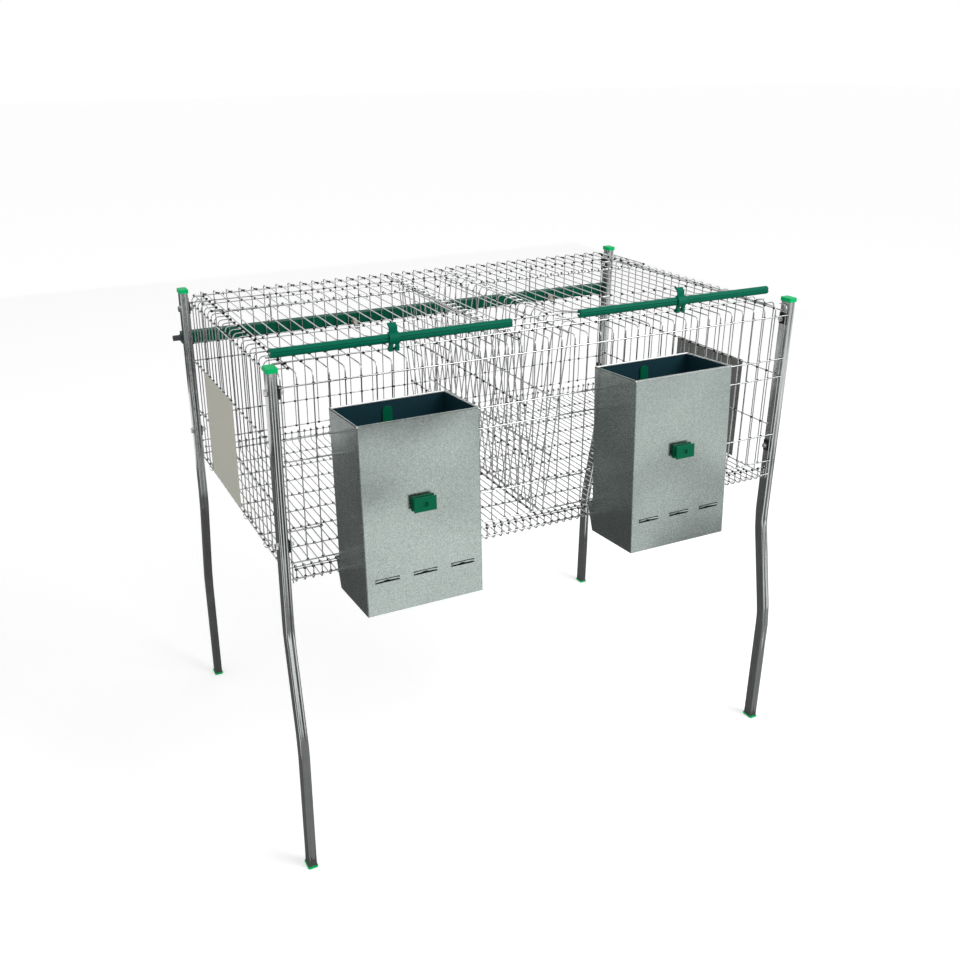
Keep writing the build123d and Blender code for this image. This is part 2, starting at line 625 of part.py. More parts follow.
def feeder_back(side):
    """Upper back plate and the chute that slopes from its foot to the trough."""
    half = FEEDER_W / 2 - SHEET - FIT
    top = half - SHEET - FIT
    mouth = CHUTE_MOUTH - FEEDER_D
    steel = SHEET / cos(atan2(-mouth, CHUTE_FOOT - BACK_H))
    points = [(-SHEET, -FEEDER_HEM), (0, -FEEDER_HEM), (0, -BACK_H), (mouth + steel, -CHUTE_FOOT)]
    points += [(mouth, -CHUTE_FOOT), (-SHEET, -BACK_H)]
    back = prism_x(points, 2 * half) + block(-top, top, -SHEET, 0, -FEEDER_HEM, 0)
    _, wire_z = in_feeder(-HALF_Y - CROSSING, HANGING_WIRE_Z)
    window = HANGER_W / 2 + RUN
    sill = wire_z + CARRIER / 2
    back -= block(side * FEEDER_SHIFT - window, side * FEEDER_SHIFT + window, -2 * SHEET, SHEET, sill, sill + 2 * HANGER_T)
    return back


def feeder_trough():
    """Lip of the trough: it leans back to the lower front wire and closes the foot of the hopper."""
    rest_y, _ = in_feeder(-PANEL_SKIN - RUN, LOWER_WIRE_Z)
    half = FEEDER_W / 2
    wall = SHEET * hypot(FEEDER_H - LIP_TOP, rest_y) / (FEEDER_H - LIP_TOP)
    wedge = [(0, -FEEDER_H), (rest_y, -LIP_TOP), (0, -LIP_TOP)]
    inside = [(-wall, -FEEDER_H), (rest_y - wall, -LIP_TOP), (rest_y - wall, SHEET - LIP_TOP)]
    inside += [(-wall, SHEET - LIP_TOP)]
    lip = prism_x(wedge, 2 * half) - prism_x(inside, 2 * (half - SHEET))
    bead_y, bead_z = rest_y - LIP_BEAD - SHEET / 2, -LIP_TOP - LIP_BEAD
    return lip + bar_x(SHEET - half, half - SHEET, bead_y, bead_z, 2 * LIP_BEAD)


def feeder_hanger(side):
    """Plastic hanger: plate inside the back, neck through it and a hook over the hanging wire."""
    wire_y, wire_z = in_feeder(-HALF_Y - CROSSING, HANGING_WIRE_Z)
    seat = wire_z + CARRIER / 2 + RUN
    leg_y = wire_y + CARRIER / 2 + HOOK_PLAY
    half = HANGER_W / 2
    inside = -SHEET - FIT
    plate = block(-half, half, inside - HANGER_T, inside, seat, seat + HANGER_H)
    plate = fillet(plate.edges().filter_by(Axis.Y).sort_by(Axis.Z)[-2:], half * 0.8)
    neck = block(-half, half, inside, leg_y + HANGER_T, seat, seat + HANGER_T)
    hook = block(-half, half, leg_y, leg_y + HANGER_T, seat + HANGER_T - HOOK_LEG, seat + HANGER_T)
    return Pos(side * FEEDER_SHIFT, 0, 0) * (plate + neck + hook)


def feeder_clip():
    """Card clip on the front: back plate, neck and a front plate with a square hole."""
    def sheet(width, height, stand, thick):
        return block(-width / 2, width / 2, -stand - thick, -stand, -height / 2, height / 2)

    clip = sheet(CLIP_W, CLIP_H, 0, CLIP_T) + sheet(CLIP_NECK, CLIP_NECK, CLIP_T, CLIP_STAND)
    clip += sheet(CLIP_W, CLIP_H, CLIP_T + CLIP_STAND, CLIP_T)
    clip -= sheet(CLIP_HOLE, CLIP_HOLE, CLIP_T + CLIP_STAND, 2 * CLIP_T)
    return Pos(CLIP_SHIFT, -FEEDER_D - FIT, -CLIP_DROP) * clip


# Drinker line

def along_nipple(x):
    """Frame of a drinker nipple: +Z runs out of the pipe, forwards and down."""
    return Pos(x, PIPE_FACE_Y, PIPE_Z) * Rot(X=90 + NIPPLE_DIP)


def round_z(diameter, z0, z1):
    """Round bar along Z between two heights."""
    return Pos(0, 0, (z0 + z1) / 2) * Cylinder(diameter / 2, z1 - z0)


def drinker_pipe():
    """Square water pipe with a hole for each nipple."""
    outline = RectangleRounded(PIPE, PIPE, PIPE_CORNER)
    outline -= Rectangle(PIPE - 2 * PIPE_WALL, PIPE - 2 * PIPE_WALL)
    pipe = Pos(-PIPE_HALF, PIPE_CY, PIPE_Z) * extrude(Plane.YZ * outline, amount=2 * PIPE_HALF)
    for cell in NIPPLE_CELLS:
        hole = round_z(NIPPLE_STEM + 2 * FIT, -NIPPLE_STEM_IN, NIPPLE_STEM_IN)
        pipe -= along_nipple(cell * PITCH) * hole
    return pipe


def pipe_cap(side):
    """End cap of the pipe, with a plug inside; the left one has a hole for the inlet."""
    bore = PIPE - 2 * PIPE_WALL - 2 * FIT
    head = extrude(RectangleRounded(PIPE, PIPE, PIPE_CORNER), amount=PIPE_CAP)
    cap = head + extrude(Rectangle(bore, bore), amount=-2 * PIPE_CAP)
    if side < 0:
        cap -= round_z(SPIGOT + 2 * FIT, -3 * PIPE_CAP, 2 * PIPE_CAP)
    return Pos(side * PIPE_HALF, PIPE_CY, PIPE_Z) * Rot(Y=side * 90) * cap


def inlet_spigot():
    """Round water inlet with a collar against the left end cap."""
    spigot = round_z(SPIGOT, -SPIGOT_IN, SPIGOT_OUT) + round_z(SPIGOT_COLLAR, 0, PIPE_CAP)
    spigot -= round_z(SPIGOT_BORE, -2 * SPIGOT_IN, 2 * SPIGOT_OUT)
    return Pos(-PIPE_HALF - PIPE_CAP, PIPE_CY, PIPE_Z) * Rot(Y=-90) * spigot


def pipe_hangers():
    """Two wire hooks over a rear wire, each bent round the pipe and under it."""
    gap = PIPE_HANGER / 2 + WELD
    wire_y = HALF_Y + CROSSING
    side = CARRIER / 2 + gap
    top, under = PIPE_Z + PIPE / 2 + gap, PIPE_Z - PIPE / 2 - gap
    back = PIPE_CY + PIPE / 2 + gap
    outline = [(wire_y - side, UPPER_WIRE_Z - PIPE_HANGER_TAIL), (wire_y - side, UPPER_WIRE_Z + side)]
    outline += [(wire_y + side, UPPER_WIRE_Z + side), (wire_y + side, top), (back, top), (back, under)]
    outline += [(back - PIPE_HANGER_FOOT, under)]
    hanger = bent_wire([(0, y, z) for y, z in outline], PIPE_HANGER_BEND, PIPE_HANGER)
    return group([Pos(cell * PITCH, 0, 0) * hanger for cell in PIPE_HANGER_CELLS])


def nipple_body(cell):
    """Drinker nipple: stem in the pipe, hexagon collar and a barrel that holds the pin."""
    collar_end = NIPPLE_COLLAR_AT + NIPPLE_COLLAR_H
    end = collar_end + NIPPLE_BARREL_L
    collar = extrude(RegularPolygon(NIPPLE_COLLAR / 2, 6, major_radius=False), amount=NIPPLE_COLLAR_H)
    body = round_z(NIPPLE_STEM, -NIPPLE_STEM_IN, NIPPLE_COLLAR_AT) + Pos(0, 0, NIPPLE_COLLAR_AT) * collar
    body += round_z(NIPPLE_BARREL, collar_end, end)
    body -= round_z(NIPPLE_PIN + 2 * FIT, end - NIPPLE_PIN_IN - 2 * NIPPLE_TRAVEL, 2 * end)
    return along_nipple(cell * PITCH) * body


def nipple_pin(cell):
    """Pin that the animal pushes to let water through."""
    end = NIPPLE_COLLAR_AT + NIPPLE_COLLAR_H + NIPPLE_BARREL_L
    pin = round_z(NIPPLE_PIN, end - NIPPLE_PIN_IN, end + NIPPLE_PIN_OUT)
    pin = fillet(pin.faces().sort_by(Axis.Z)[-1].edges(), NIPPLE_PIN / 3)
    return along_nipple(cell * PITCH) * pin


def make_parts():
    """Every piece by name."""
    rack_right = rack_wall()
    left_wall = side_wall()
    left_plate = side_plate()
    parts = {
        "front_panel": front_panel(),
        "rear_panel": rear_panel(),
        "rear_top_panel": rear_top_panel(),
        "left_wall": left_wall,
        "right_wall": Rot(Z=180) * left_wall,
        "floor_panel": floor_panel(),
        "hay_rack_right": group(rack_right),
        "hay_rack_left": group(mirrored(rack_right)),
        "hay_rack_tie": rack_tie(),
        "panel_rings": panel_rings(),
        "left_side_plate": left_plate,
        "right_side_plate": Rot(Z=180) * left_plate,
        "leg_bolts": corner_hardware("bolt"),
        "leg_nuts": corner_hardware("nut"),
        "leg_brackets": corner_hardware("bracket"),
        "drinker_pipe": drinker_pipe(),
        "inlet_spigot": inlet_spigot(),
        "pipe_hangers": pipe_hangers(),
    }
    ends = {
        "leg": leg(),
        "leg_cap": leg_end(LEG_CY, LEG_TOP_Z, CAP_HEAD, 1),
        "leg_foot": leg_end(LEG_CY + LEG_SPLAY, FOOT_HEAD, FOOT_HEAD, -1),
    }
    for name, piece in ends.items():
        for corner, placed in at_corners(piece).items():
            parts[f"{corner}_{name}"] = placed
    for name, side in SIDES.items():
        place = feeder_place(side)
        cell = NIPPLE_CELLS[0] if side < 0 else NIPPLE_CELLS[1]
        parts[f"{name}_lid_mesh"] = lid_mesh(side)
        parts[f"{name}_lid_bar"] = lid_bar(side)
        parts[f"{name}_latch"] = latch(side)
        parts[f"{name}_feeder_shell"] = place * feeder_shell()
        parts[f"{name}_feeder_back"] = place * feeder_back(side)
        parts[f"{name}_feeder_trough"] = place * feeder_trough()
        parts[f"{name}_feeder_hanger"] = place * feeder_hanger(side)
        parts[f"{name}_feeder_clip"] = place * feeder_clip()
        parts[f"{name}_pipe_cap"] = pipe_cap(side)
        parts[f"{name}_nipple_body"] = nipple_body(cell)
        parts[f"{name}_nipple_pin"] = nipple_pin(cell)
    return parts


def main():
    """Write one file for each piece."""
    os.makedirs("parts", exist_ok=True)
    for name, shape in make_parts().items():
        export_step(shape, f"parts/{name}.step")


if __name__ == "__main__":
    main()
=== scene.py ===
"""Rabbit cage on stepped legs: finishes, pressed and moulded detail, camera and studio."""

from __future__ import annotations

import json
import logging
import math
from collections.abc import Iterable, Iterator, Sequence
from contextlib import contextmanager
from dataclasses import dataclass
from enum import Enum

import bpy
from mathutils import Matrix, Vector

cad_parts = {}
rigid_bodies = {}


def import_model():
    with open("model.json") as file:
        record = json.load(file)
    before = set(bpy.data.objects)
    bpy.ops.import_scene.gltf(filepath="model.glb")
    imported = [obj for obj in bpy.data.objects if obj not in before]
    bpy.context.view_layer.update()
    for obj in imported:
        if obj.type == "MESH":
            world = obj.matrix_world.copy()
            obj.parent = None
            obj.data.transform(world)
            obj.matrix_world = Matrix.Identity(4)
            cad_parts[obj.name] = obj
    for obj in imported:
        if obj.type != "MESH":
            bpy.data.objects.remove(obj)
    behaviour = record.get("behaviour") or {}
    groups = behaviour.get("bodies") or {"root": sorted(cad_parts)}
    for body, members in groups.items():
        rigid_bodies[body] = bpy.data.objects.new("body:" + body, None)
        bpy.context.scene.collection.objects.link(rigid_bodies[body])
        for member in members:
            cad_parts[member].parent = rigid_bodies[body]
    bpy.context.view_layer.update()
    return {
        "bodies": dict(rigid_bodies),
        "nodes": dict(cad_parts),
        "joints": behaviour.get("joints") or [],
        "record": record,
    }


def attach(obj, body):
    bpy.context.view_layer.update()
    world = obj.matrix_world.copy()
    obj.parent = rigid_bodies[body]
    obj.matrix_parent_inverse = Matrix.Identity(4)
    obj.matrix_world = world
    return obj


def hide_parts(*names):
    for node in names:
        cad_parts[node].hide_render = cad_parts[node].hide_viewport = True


LOG = logging.getLogger("rabbit_cage")

Point = tuple[float, float, float]
Colour = tuple[float, float, float, float]
Socket = bpy.types.NodeSocket

UP: Point = (0.0, 0.0, 1.0)
WHITE: Colour = (1.0, 1.0, 1.0, 1.0)
MERGE_GAP = 2e-6
FLAT_DEGREES = 1.0
EDGE_DEGREES = 40.0
MOULDED_DEGREES = 35.0
SHEET_DEGREES = 40.0


class Side(Enum):
    """Left and right half of the cage, seen from the feeders."""

    LEFT = -1
    RIGHT = 1

    @property
    def word(self) -> str:
        """Name of the side as the nodes and bodies spell it."""
        return self.name.lower()


class Corner(Enum):
    """The four legs, as signs along X and Y."""

    FRONT_LEFT = (-1, -1)
    FRONT_RIGHT = (1, -1)
    REAR_LEFT = (-1, 1)
    REAR_RIGHT = (1, 1)

    @property
    def word(self) -> str:
        """Name of the corner as the nodes spell it."""
        return self.name.lower()


FEEDER_MIDDLES = {Side.LEFT: -0.30925, Side.RIGHT: 0.15925}


# Shader helpers


@dataclass(frozen=True)
class Noise:
    """Scale per metre and detail of one noise pattern."""

    scale: float
    detail: float = 3.0


class ShaderBench:
    """Adds nodes to one shader tree and joins them up."""

    def __init__(self, tree: bpy.types.NodeTree) -> None:
        """Keeps the tree that is being worked on."""
        self.tree = tree

    def add(self, kind: str, settings: dict | None = None, **values: object) -> bpy.types.Node:
        """Adds one node.

        Args:
            kind: Blender's type name of the node.
            settings: properties of the node itself.
            values: input values by socket name, with underscores for spaces.

        Returns:
            The new node.
        """
        node = self.tree.nodes.new(kind)
        for name, value in (settings or {}).items():
            setattr(node, name, value)
        for name, value in values.items():
            node.inputs[name.replace("_", " ")].default_value = value
        return node

    def join(self, source: Socket, target: Socket) -> None:
        """Links an output to an input."""
        self.tree.links.new(source, target)

    def sum_of(self, kind: str, first: Socket | float, second: Socket | float) -> Socket:
        """Works out one sum.

        Args:
            kind: operation of the Math node.
            first: socket or number.
            second: socket or number.

        Returns:
            The socket with the result.
        """
        node = self.add("ShaderNodeMath", {"operation": kind})
        for place, value in enumerate((first, second)):
            if isinstance(value, Socket):
                self.join(value, node.inputs[place])
            else:
                node.inputs[place].default_value = value
        return node.outputs[0]

    def total(self, first: Socket | float, *rest: Socket) -> Socket:
        """Adds up several values.

        Args:
            first: socket or number to start from.
            rest: sockets to add.

        Returns:
            The socket with the total.
        """
        result = first
        for item in rest:
            result = self.sum_of("ADD", result, item)
        return result

    def noise(self, place: Socket, pattern: Noise) -> Socket:
        """Draws a noise pattern.

        Args:
            place: coordinates that it follows.
            pattern: its scale and detail.

        Returns:
            The noise value, around one half.
        """
        node = self.add("ShaderNodeTexNoise", Scale=pattern.scale, Detail=pattern.detail)
        self.join(place, node.inputs["Vector"])
        return node.outputs[0]

    def swing(self, value: Socket, amount: Socket | float) -> Socket:
        """A value around one half, turned into a swing of the given amount around zero."""
        return self.sum_of("MULTIPLY", self.sum_of("SUBTRACT", value, 0.5), amount)

    def shaded(self, tint: Socket, factor: Socket) -> Socket:
        """Makes a colour lighter or darker.

        Args:
            tint: the colour.
            factor: what it is multiplied by.

        Returns:
            The socket with the new colour.
        """
        node = self.add("ShaderNodeVectorMath", {"operation": "SCALE"})
        self.join(tint, node.inputs[0])
        self.join(factor, node.inputs["Scale"])
        return node.outputs[0]


@dataclass(frozen=True)
class EffectInput:
    """One named input of a shared surface effect: a colour or a number."""

    name: str
    default: Colour | float

    @property
    def kind(self) -> str:
        """Blender's socket type for such a value."""
        return "NodeSocketColor" if isinstance(self.default, tuple) else "NodeSocketFloat"


class SurfaceEffect:
    """A shared effect as a node group that puts out a colour, a roughness and a height."""

    name = "effect"
    inputs: tuple[EffectInput, ...] = ()
    outputs = {"Color": "NodeSocketColor", "Roughness": "NodeSocketFloat", "Height": "NodeSocketFloat"}

    def __init__(self) -> None:
        """Builds the group once."""
        self.group = bpy.data.node_groups.new(self.name, "ShaderNodeTree")
        face = self.group.interface
        for item in self.inputs:
            face.new_socket(item.name, in_out="INPUT", socket_type=item.kind).default_value = item.default
        for name, kind in self.outputs.items():
            face.new_socket(name, in_out="OUTPUT", socket_type=kind)
        self.bench = ShaderBench(self.group)
        self.given = self.bench.add("NodeGroupInput").outputs
        self.place = self.bench.add("ShaderNodeTexCoord").outputs["Object"]
        result = self.bench.add("NodeGroupOutput")
        for name, socket in self.draw().items():
            self.bench.join(socket, result.inputs[name])

    def draw(self) -> dict[str, Socket]:
        """Draws the effect's nodes.

        Returns:
            The output sockets by name.
        """
        raise NotImplementedError


class ZincSpangle(SurfaceEffect):
    """Galvanised sheet: frosted flakes, soft clouds and a fine grain."""

    name = "zinc_spangle"
    inputs = (
        EffectInput("Tint", (0.6, 0.6, 0.6, 1.0)),
        EffectInput("Flakes per metre", 800.0),
        EffectInput("Flake contrast", 0.40),
        EffectInput("Cloud", 0.2),
        EffectInput("Waviness", 450.0),
        EffectInput("Roughness", 0.35),
    )
    grains = Noise(1600.0)
    clouds = Noise(7.0, 0.0)
    grain_light = 0.30
    grain_rough = 0.08
    flake_rough = 0.05
    flake_height = 0.3

    def draw(self) -> dict[str, Socket]:
        """Flakes from a cell pattern, over clouds, with grain and waves in the height.

        Returns:
            The output sockets by name.
        """
        bench, given, place = self.bench, self.given, self.place
        cells = bench.add("ShaderNodeTexVoronoi")
        bench.join(place, cells.inputs["Vector"])
        bench.join(given["Flakes per metre"], cells.inputs["Scale"])
        parts = bench.add("ShaderNodeSeparateColor")
        bench.join(cells.outputs["Color"], parts.inputs[0])
        flake_tone, flake_gloss, flake_lift = parts.outputs
        grain = bench.noise(place, self.grains)
        cloud = bench.noise(place, self.clouds)
        light = bench.total(
            1.0,
            bench.swing(flake_tone, given["Flake contrast"]),
            bench.swing(cloud, given["Cloud"]),
            bench.swing(grain, self.grain_light),
        )
        dullness = (bench.swing(flake_gloss, self.flake_rough), bench.swing(grain, self.grain_rough))
        flakes = bench.sum_of("MULTIPLY", flake_lift, self.flake_height)
        waves = bench.sum_of("MULTIPLY", cloud, given["Waviness"])
        return {
            "Color": bench.shaded(given["Tint"], light),
            "Roughness": bench.total(given["Roughness"], *dullness),
            "Height": bench.total(grain, flakes, waves),
        }


class DrawnZinc(SurfaceEffect):
    """Zinc on drawn wire or rolled tube: streaks along Z and dull patches."""

    name = "drawn_zinc"
    inputs = (
        EffectInput("Tint", (0.5, 0.5, 0.5, 1.0)),
        EffectInput("Streak", 0.3),
        EffectInput("Patch", 0.3),
        EffectInput("Roughness", 0.3),
    )
    pull = (1.0, 1.0, 0.02)
    streaks = Noise(420.0, 4.0)
    patches = Noise(38.0, 4.0)
    grains = Noise(1400.0, 2.0)
    patch_rough = 0.3
    streak_rough = 0.15
    grain_height = 0.6

    def draw(self) -> dict[str, Socket]:
        """Stretched noise for the streaks and wide noise for the patches.

        Returns:
            The output sockets by name.
        """
        bench, given, place = self.bench, self.given, self.place
        pulled = bench.add("ShaderNodeMapping", Scale=self.pull)
        bench.join(place, pulled.inputs["Vector"])
        streak = bench.noise(pulled.outputs[0], self.streaks)
        patch = bench.noise(place, self.patches)
        grain = bench.noise(place, self.grains)
        light = bench.total(1.0, bench.swing(streak, given["Streak"]), bench.swing(patch, given["Patch"]))
        dullness = (bench.swing(patch, self.patch_rough), bench.swing(streak, self.streak_rough))
        return {
            "Color": bench.shaded(given["Tint"], light),
            "Roughness": bench.total(given["Roughness"], *dullness),
            "Height": bench.total(streak, bench.sum_of("MULTIPLY", grain, self.grain_height)),
        }


class MouldedGrain(SurfaceEffect):
    """Moulded or extruded plastic and paint: faint mottle, fine grain and scuffs."""

    name = "moulded_grain"
    inputs = (
        EffectInput("Tint", (0.5, 0.5, 0.5, 1.0)),
        EffectInput("Mottle", 0.15),
        EffectInput("Scuff", 0.2),
        EffectInput("Roughness", 0.4),
    )
    mottles = Noise(60.0, 3.0)
    scuffs = Noise(320.0, 5.0)
    grains = Noise(1600.0, 2.0)
    scuff_light = 0.10
    scuff_height = 0.5

    def draw(self) -> dict[str, Socket]:
        """Wide mottle in the colour and scuffs in the roughness.

        Returns:
            The output sockets by name.
        """
        bench, given, place = self.bench, self.given, self.place
        mottle = bench.noise(place, self.mottles)
        scuff = bench.noise(place, self.scuffs)
        grain = bench.noise(place, self.grains)
        light = bench.total(1.0, bench.swing(mottle, given["Mottle"]), bench.swing(scuff, self.scuff_light))
        return {
            "Color": bench.shaded(given["Tint"], light),
            "Roughness": bench.total(given["Roughness"], bench.swing(scuff, given["Scuff"])),
            "Height": bench.total(grain, bench.sum_of("MULTIPLY", scuff, self.scuff_height)),
        }


# Finishes


@dataclass(frozen=True)
class Finish:
    """One finish of the cage: a shared effect with its own values under a Principled shader."""

    name: str
    effect: type[SurfaceEffect]
    values: dict[str, object]
    metallic: float = 0.0
    specular: float = 0.5
    bump: float = 0.1
    bump_depth: float = 0.0002

    def material(self, effects: dict[type[SurfaceEffect], SurfaceEffect]) -> bpy.types.Material:
        """Makes the material.

        Args:
            effects: the built node groups by class.

        Returns:
            The finished material.
        """
        made = bpy.data.materials.new(self.name)
        made.use_nodes = True
        made.node_tree.nodes.clear()
        bench = ShaderBench(made.node_tree)
        group = bench.add("ShaderNodeGroup", {"node_tree": effects[self.effect].group})
        for name, value in self.values.items():
            group.inputs[name].default_value = value
        plain = {"Metallic": self.metallic, "Specular_IOR_Level": self.specular}
        shader = bench.add("ShaderNodeBsdfPrincipled", **plain)
        bump = bench.add("ShaderNodeBump", Strength=self.bump, Distance=self.bump_depth)
        bench.join(group.outputs["Color"], shader.inputs["Base Color"])
        bench.join(group.outputs["Roughness"], shader.inputs["Roughness"])
        bench.join(group.outputs["Height"], bump.inputs["Height"])
        bench.join(bump.outputs["Normal"], shader.inputs["Normal"])
        output = bench.add("ShaderNodeOutputMaterial")
        bench.join(shader.outputs[0], output.inputs["Surface"])
        return made


def zinc_sheet(name: str, tint: Colour, cloud: float, roughness: float) -> Finish:
    """Galvanised sheet finish of a given tint."""
    values = {"Tint": tint, "Cloud": cloud, "Roughness": roughness}
    return Finish(name, ZincSpangle, values, metallic=1.0, bump=1.0, bump_depth=2e-5)


def drawn(name: str, tint: Colour, streak: float, patch: float, roughness: float) -> Finish:
    """Drawn metal finish of a given tint."""
    values = {"Tint": tint, "Streak": streak, "Patch": patch, "Roughness": roughness}
    return Finish(name, DrawnZinc, values, metallic=1.0, bump=0.15)


def moulded(name: str, tint: Colour, mottle: float, roughness: float, specular: float = 0.12) -> Finish:
    """Plastic or paint finish of a given tint."""
    values = {"Tint": tint, "Mottle": mottle, "Roughness": roughness}
    return Finish(name, MouldedGrain, values, specular=specular)


WIRE = drawn("galvanised_wire", (0.54, 0.55, 0.55, 1.0), 0.10, 0.55, 0.12)
TUBE = drawn("galvanised_tube", (0.46, 0.48, 0.475, 1.0), 0.60, 0.25, 0.16)
SHEET = zinc_sheet("galvanised_sheet", (0.355, 0.405, 0.385, 1.0), 0.24, 0.25)
CAP = moulded("cap_green", (0.004, 0.47, 0.15, 1.0), 0.20, 0.38, 0.05)
BAR = moulded("bar_green", (0.001, 0.135, 0.077, 1.0), 0.18, 0.40, 0.06)
CLIP = moulded("clip_green", (0.001, 0.115, 0.055, 1.0), 0.20, 0.38, 0.06)
PIPE = moulded("pipe_green", (0.001, 0.088, 0.050, 1.0), 0.20, 0.42, 0.07)
PLATE = moulded("plate_grey", (0.53, 0.53, 0.46, 1.0), 0.06, 0.55)
SPIGOT = moulded("spigot_grey", (0.09, 0.10, 0.11, 1.0), 0.20, 0.42)
NIPPLE = drawn("nipple_brass", (0.46, 0.44, 0.39, 1.0), 0.20, 0.20, 0.30)
PIN = drawn("nipple_steel", (0.60, 0.61, 0.62, 1.0), 0.20, 0.10, 0.22)
HARDWARE = drawn("zinc_hardware", (0.62, 0.63, 0.64, 1.0), 0.10, 0.20, 0.24)
BRACKET = moulded("bracket_black", (0.02, 0.022, 0.025, 1.0), 0.30, 0.50)
# Near-black spots: partly weld scale, partly painted shade where the wires cross.
WELD_AND_SHADE = moulded("weld_spot", (0.008, 0.008, 0.008, 1.0), 0.40, 0.55)
# Near-white metal on the front folds and the rim hem: a painted highlight along those edges.
SHEET_EDGE_HIGHLIGHT = drawn("sheet_edge", (0.97, 0.98, 0.98, 1.0), 0.06, 0.06, 0.60)
# Dark navy on the faces inside the hopper: painted shade.
HOPPER_INSIDE_SHADE = moulded("hopper_inside", (0.007, 0.036, 0.050, 1.0), 0.15, 0.40, 0.30)
# Darker grey on the side plates' inner faces: painted shade.
PLATE_BACK_SHADE = moulded("plate_back", (0.180, 0.184, 0.174, 1.0), 0.10, 0.55)

SLOT_FINISHES = (
    WIRE, TUBE, SHEET, CAP, BAR, CLIP, PIPE, PLATE, SPIGOT, NIPPLE, PIN, HARDWARE, BRACKET,
)
DETAIL_FINISHES = (WELD_AND_SHADE, SHEET_EDGE_HIGHLIGHT, HOPPER_INSIDE_SHADE, PLATE_BACK_SHADE)


class Paintbox:
    """All materials, by finish name."""

    def __init__(self) -> None:
        """Builds the shared effects, then every finish."""
        effects = {kind: kind() for kind in (ZincSpangle, DrawnZinc, MouldedGrain)}
        self.materials = {f.name: f.material(effects) for f in SLOT_FINISHES + DETAIL_FINISHES}

    def paint(self, piece: bpy.types.Object, *finishes: Finish) -> None:
        """Gives a piece its materials.

        Args:
            piece: the piece.
            finishes: its finishes in slot order.
        """
        piece.data.materials.clear()
        for finish in finishes:
            piece.data.materials.append(self.materials[finish.name])

    def dress_solids(self, frame: dict) -> None:
        """Gives every solid the finish of its material slot.

        Args:
            frame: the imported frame.
        """
        by_name = {finish.name: finish for finish in SLOT_FINISHES}
        for part in frame["record"]["subparts"]:
            self.paint(frame["nodes"][part["node"]], by_name[part["material_slot"]])


# Modelling helpers


def deselect_all() -> None:
    """Leaves edit mode and deselects every object."""
    if bpy.context.object and bpy.context.object.mode != "OBJECT":
        bpy.ops.object.mode_set(mode="OBJECT")
    bpy.ops.object.select_all(action="DESELECT")


def make_active(piece: bpy.types.Object) -> None:
    """Makes one piece the only selected and active object.

    Args:
        piece: the piece.
    """
    deselect_all()
    piece.select_set(True)
    bpy.context.view_layer.objects.active = piece


@contextmanager
def editing(piece: bpy.types.Object, whole: bool = True) -> Iterator[None]:
    """Opens a piece in edit mode, and closes it again afterwards.

    Args:
        piece: the piece.
        whole: whether all of it is selected, or what was selected before.

    Yields:
        Nothing, while the piece is open.
    """
    make_active(piece)
    bpy.ops.object.mode_set(mode="EDIT")
    if whole:
        bpy.ops.mesh.select_all(action="SELECT")
    yield
    bpy.ops.object.mode_set(mode="OBJECT")


def named(piece: bpy.types.Object, name: str) -> bpy.types.Object:
    """Names a piece and its mesh alike."""
    piece.name = piece.data.name = name
    return piece


def new_piece(name: str, mesh: bpy.types.Mesh) -> bpy.types.Object:
    """Puts a mesh into the scene.

    Args:
        name: name of the piece and its mesh.
        mesh: the mesh.

    Returns:
        The new piece.
    """
    piece = named(bpy.data.objects.new(name, mesh), name)
    bpy.context.scene.collection.objects.link(piece)
    return piece


def apply_modifier(piece: bpy.types.Object, kind: str, **settings: object) -> None:
    """Adds a modifier to a piece and applies it.

    Args:
        piece: the piece.
        kind: Blender's type name of the modifier.
        settings: properties of the modifier.
    """
    make_active(piece)
    modifier = piece.modifiers.new(kind.lower(), kind)
    for name, value in settings.items():
        setattr(modifier, name, value)
    bpy.ops.object.modifier_apply(modifier=modifier.name)


def shade_by_angle(piece: bpy.types.Object, degrees: float) -> None:
    """Smooth shading across edges flatter than the angle."""
    make_active(piece)
    bpy.ops.object.shade_smooth_by_angle(angle=math.radians(degrees))


def joined_copy(node: str, name: str) -> bpy.types.Object:
    """Copies a solid's mesh and joins its loose triangles.

    Args:
        node: the solid to copy.
        name: name of the copy.

    Returns:
        The copy, active and in object mode.
    """
    piece = new_piece(name, bpy.data.objects[node].data.copy())
    with editing(piece):
        bpy.ops.mesh.remove_doubles(threshold=MERGE_GAP)
        bpy.ops.mesh.dissolve_limited(angle_limit=math.radians(FLAT_DEGREES))
    return piece


def soften(piece: bpy.types.Object, bevel: float) -> bpy.types.Object:
    """Rounds a piece's edges and shades it smooth.

    Args:
        piece: the piece.
        bevel: width of the rounding.

    Returns:
        The same piece.
    """
    limit = math.radians(EDGE_DEGREES)
    apply_modifier(piece, "BEVEL", width=bevel, segments=2, limit_method="ANGLE", angle_limit=limit)
    shade_by_angle(piece, MOULDED_DEGREES)
    apply_modifier(piece, "WEIGHTED_NORMAL", keep_sharp=True)
    return piece


def scattered(seed: bpy.types.Object, places: Sequence[Vector], name: str) -> bpy.types.Object:
    """One mesh with a copy of a small shape at every place.

    Args:
        seed: the shape, modelled at the origin.
        places: where the copies go.
        name: name of the new piece.

    Returns:
        The new piece.
    """
    points = [vertex.co.copy() for vertex in seed.data.vertices]
    faces = [tuple(face.vertices) for face in seed.data.polygons]
    vertices = [point + place for place in places for point in points]
    count = len(points)
    polygons = [tuple(i + k * count for i in face) for k in range(len(places)) for face in faces]
    mesh = bpy.data.meshes.new(name)
    mesh.from_pydata(vertices, [], polygons)
    piece = new_piece(name, mesh)
    make_active(piece)
    bpy.ops.object.shade_smooth()
    return piece


def half_grid(half_span: float, pitch: float) -> list[float]:
    """Places half a pitch either side of the middle and on by whole pitches."""
    count = int(half_span / pitch + 0.5)
    return [pitch * (i + 0.5) for i in range(-count, count)]


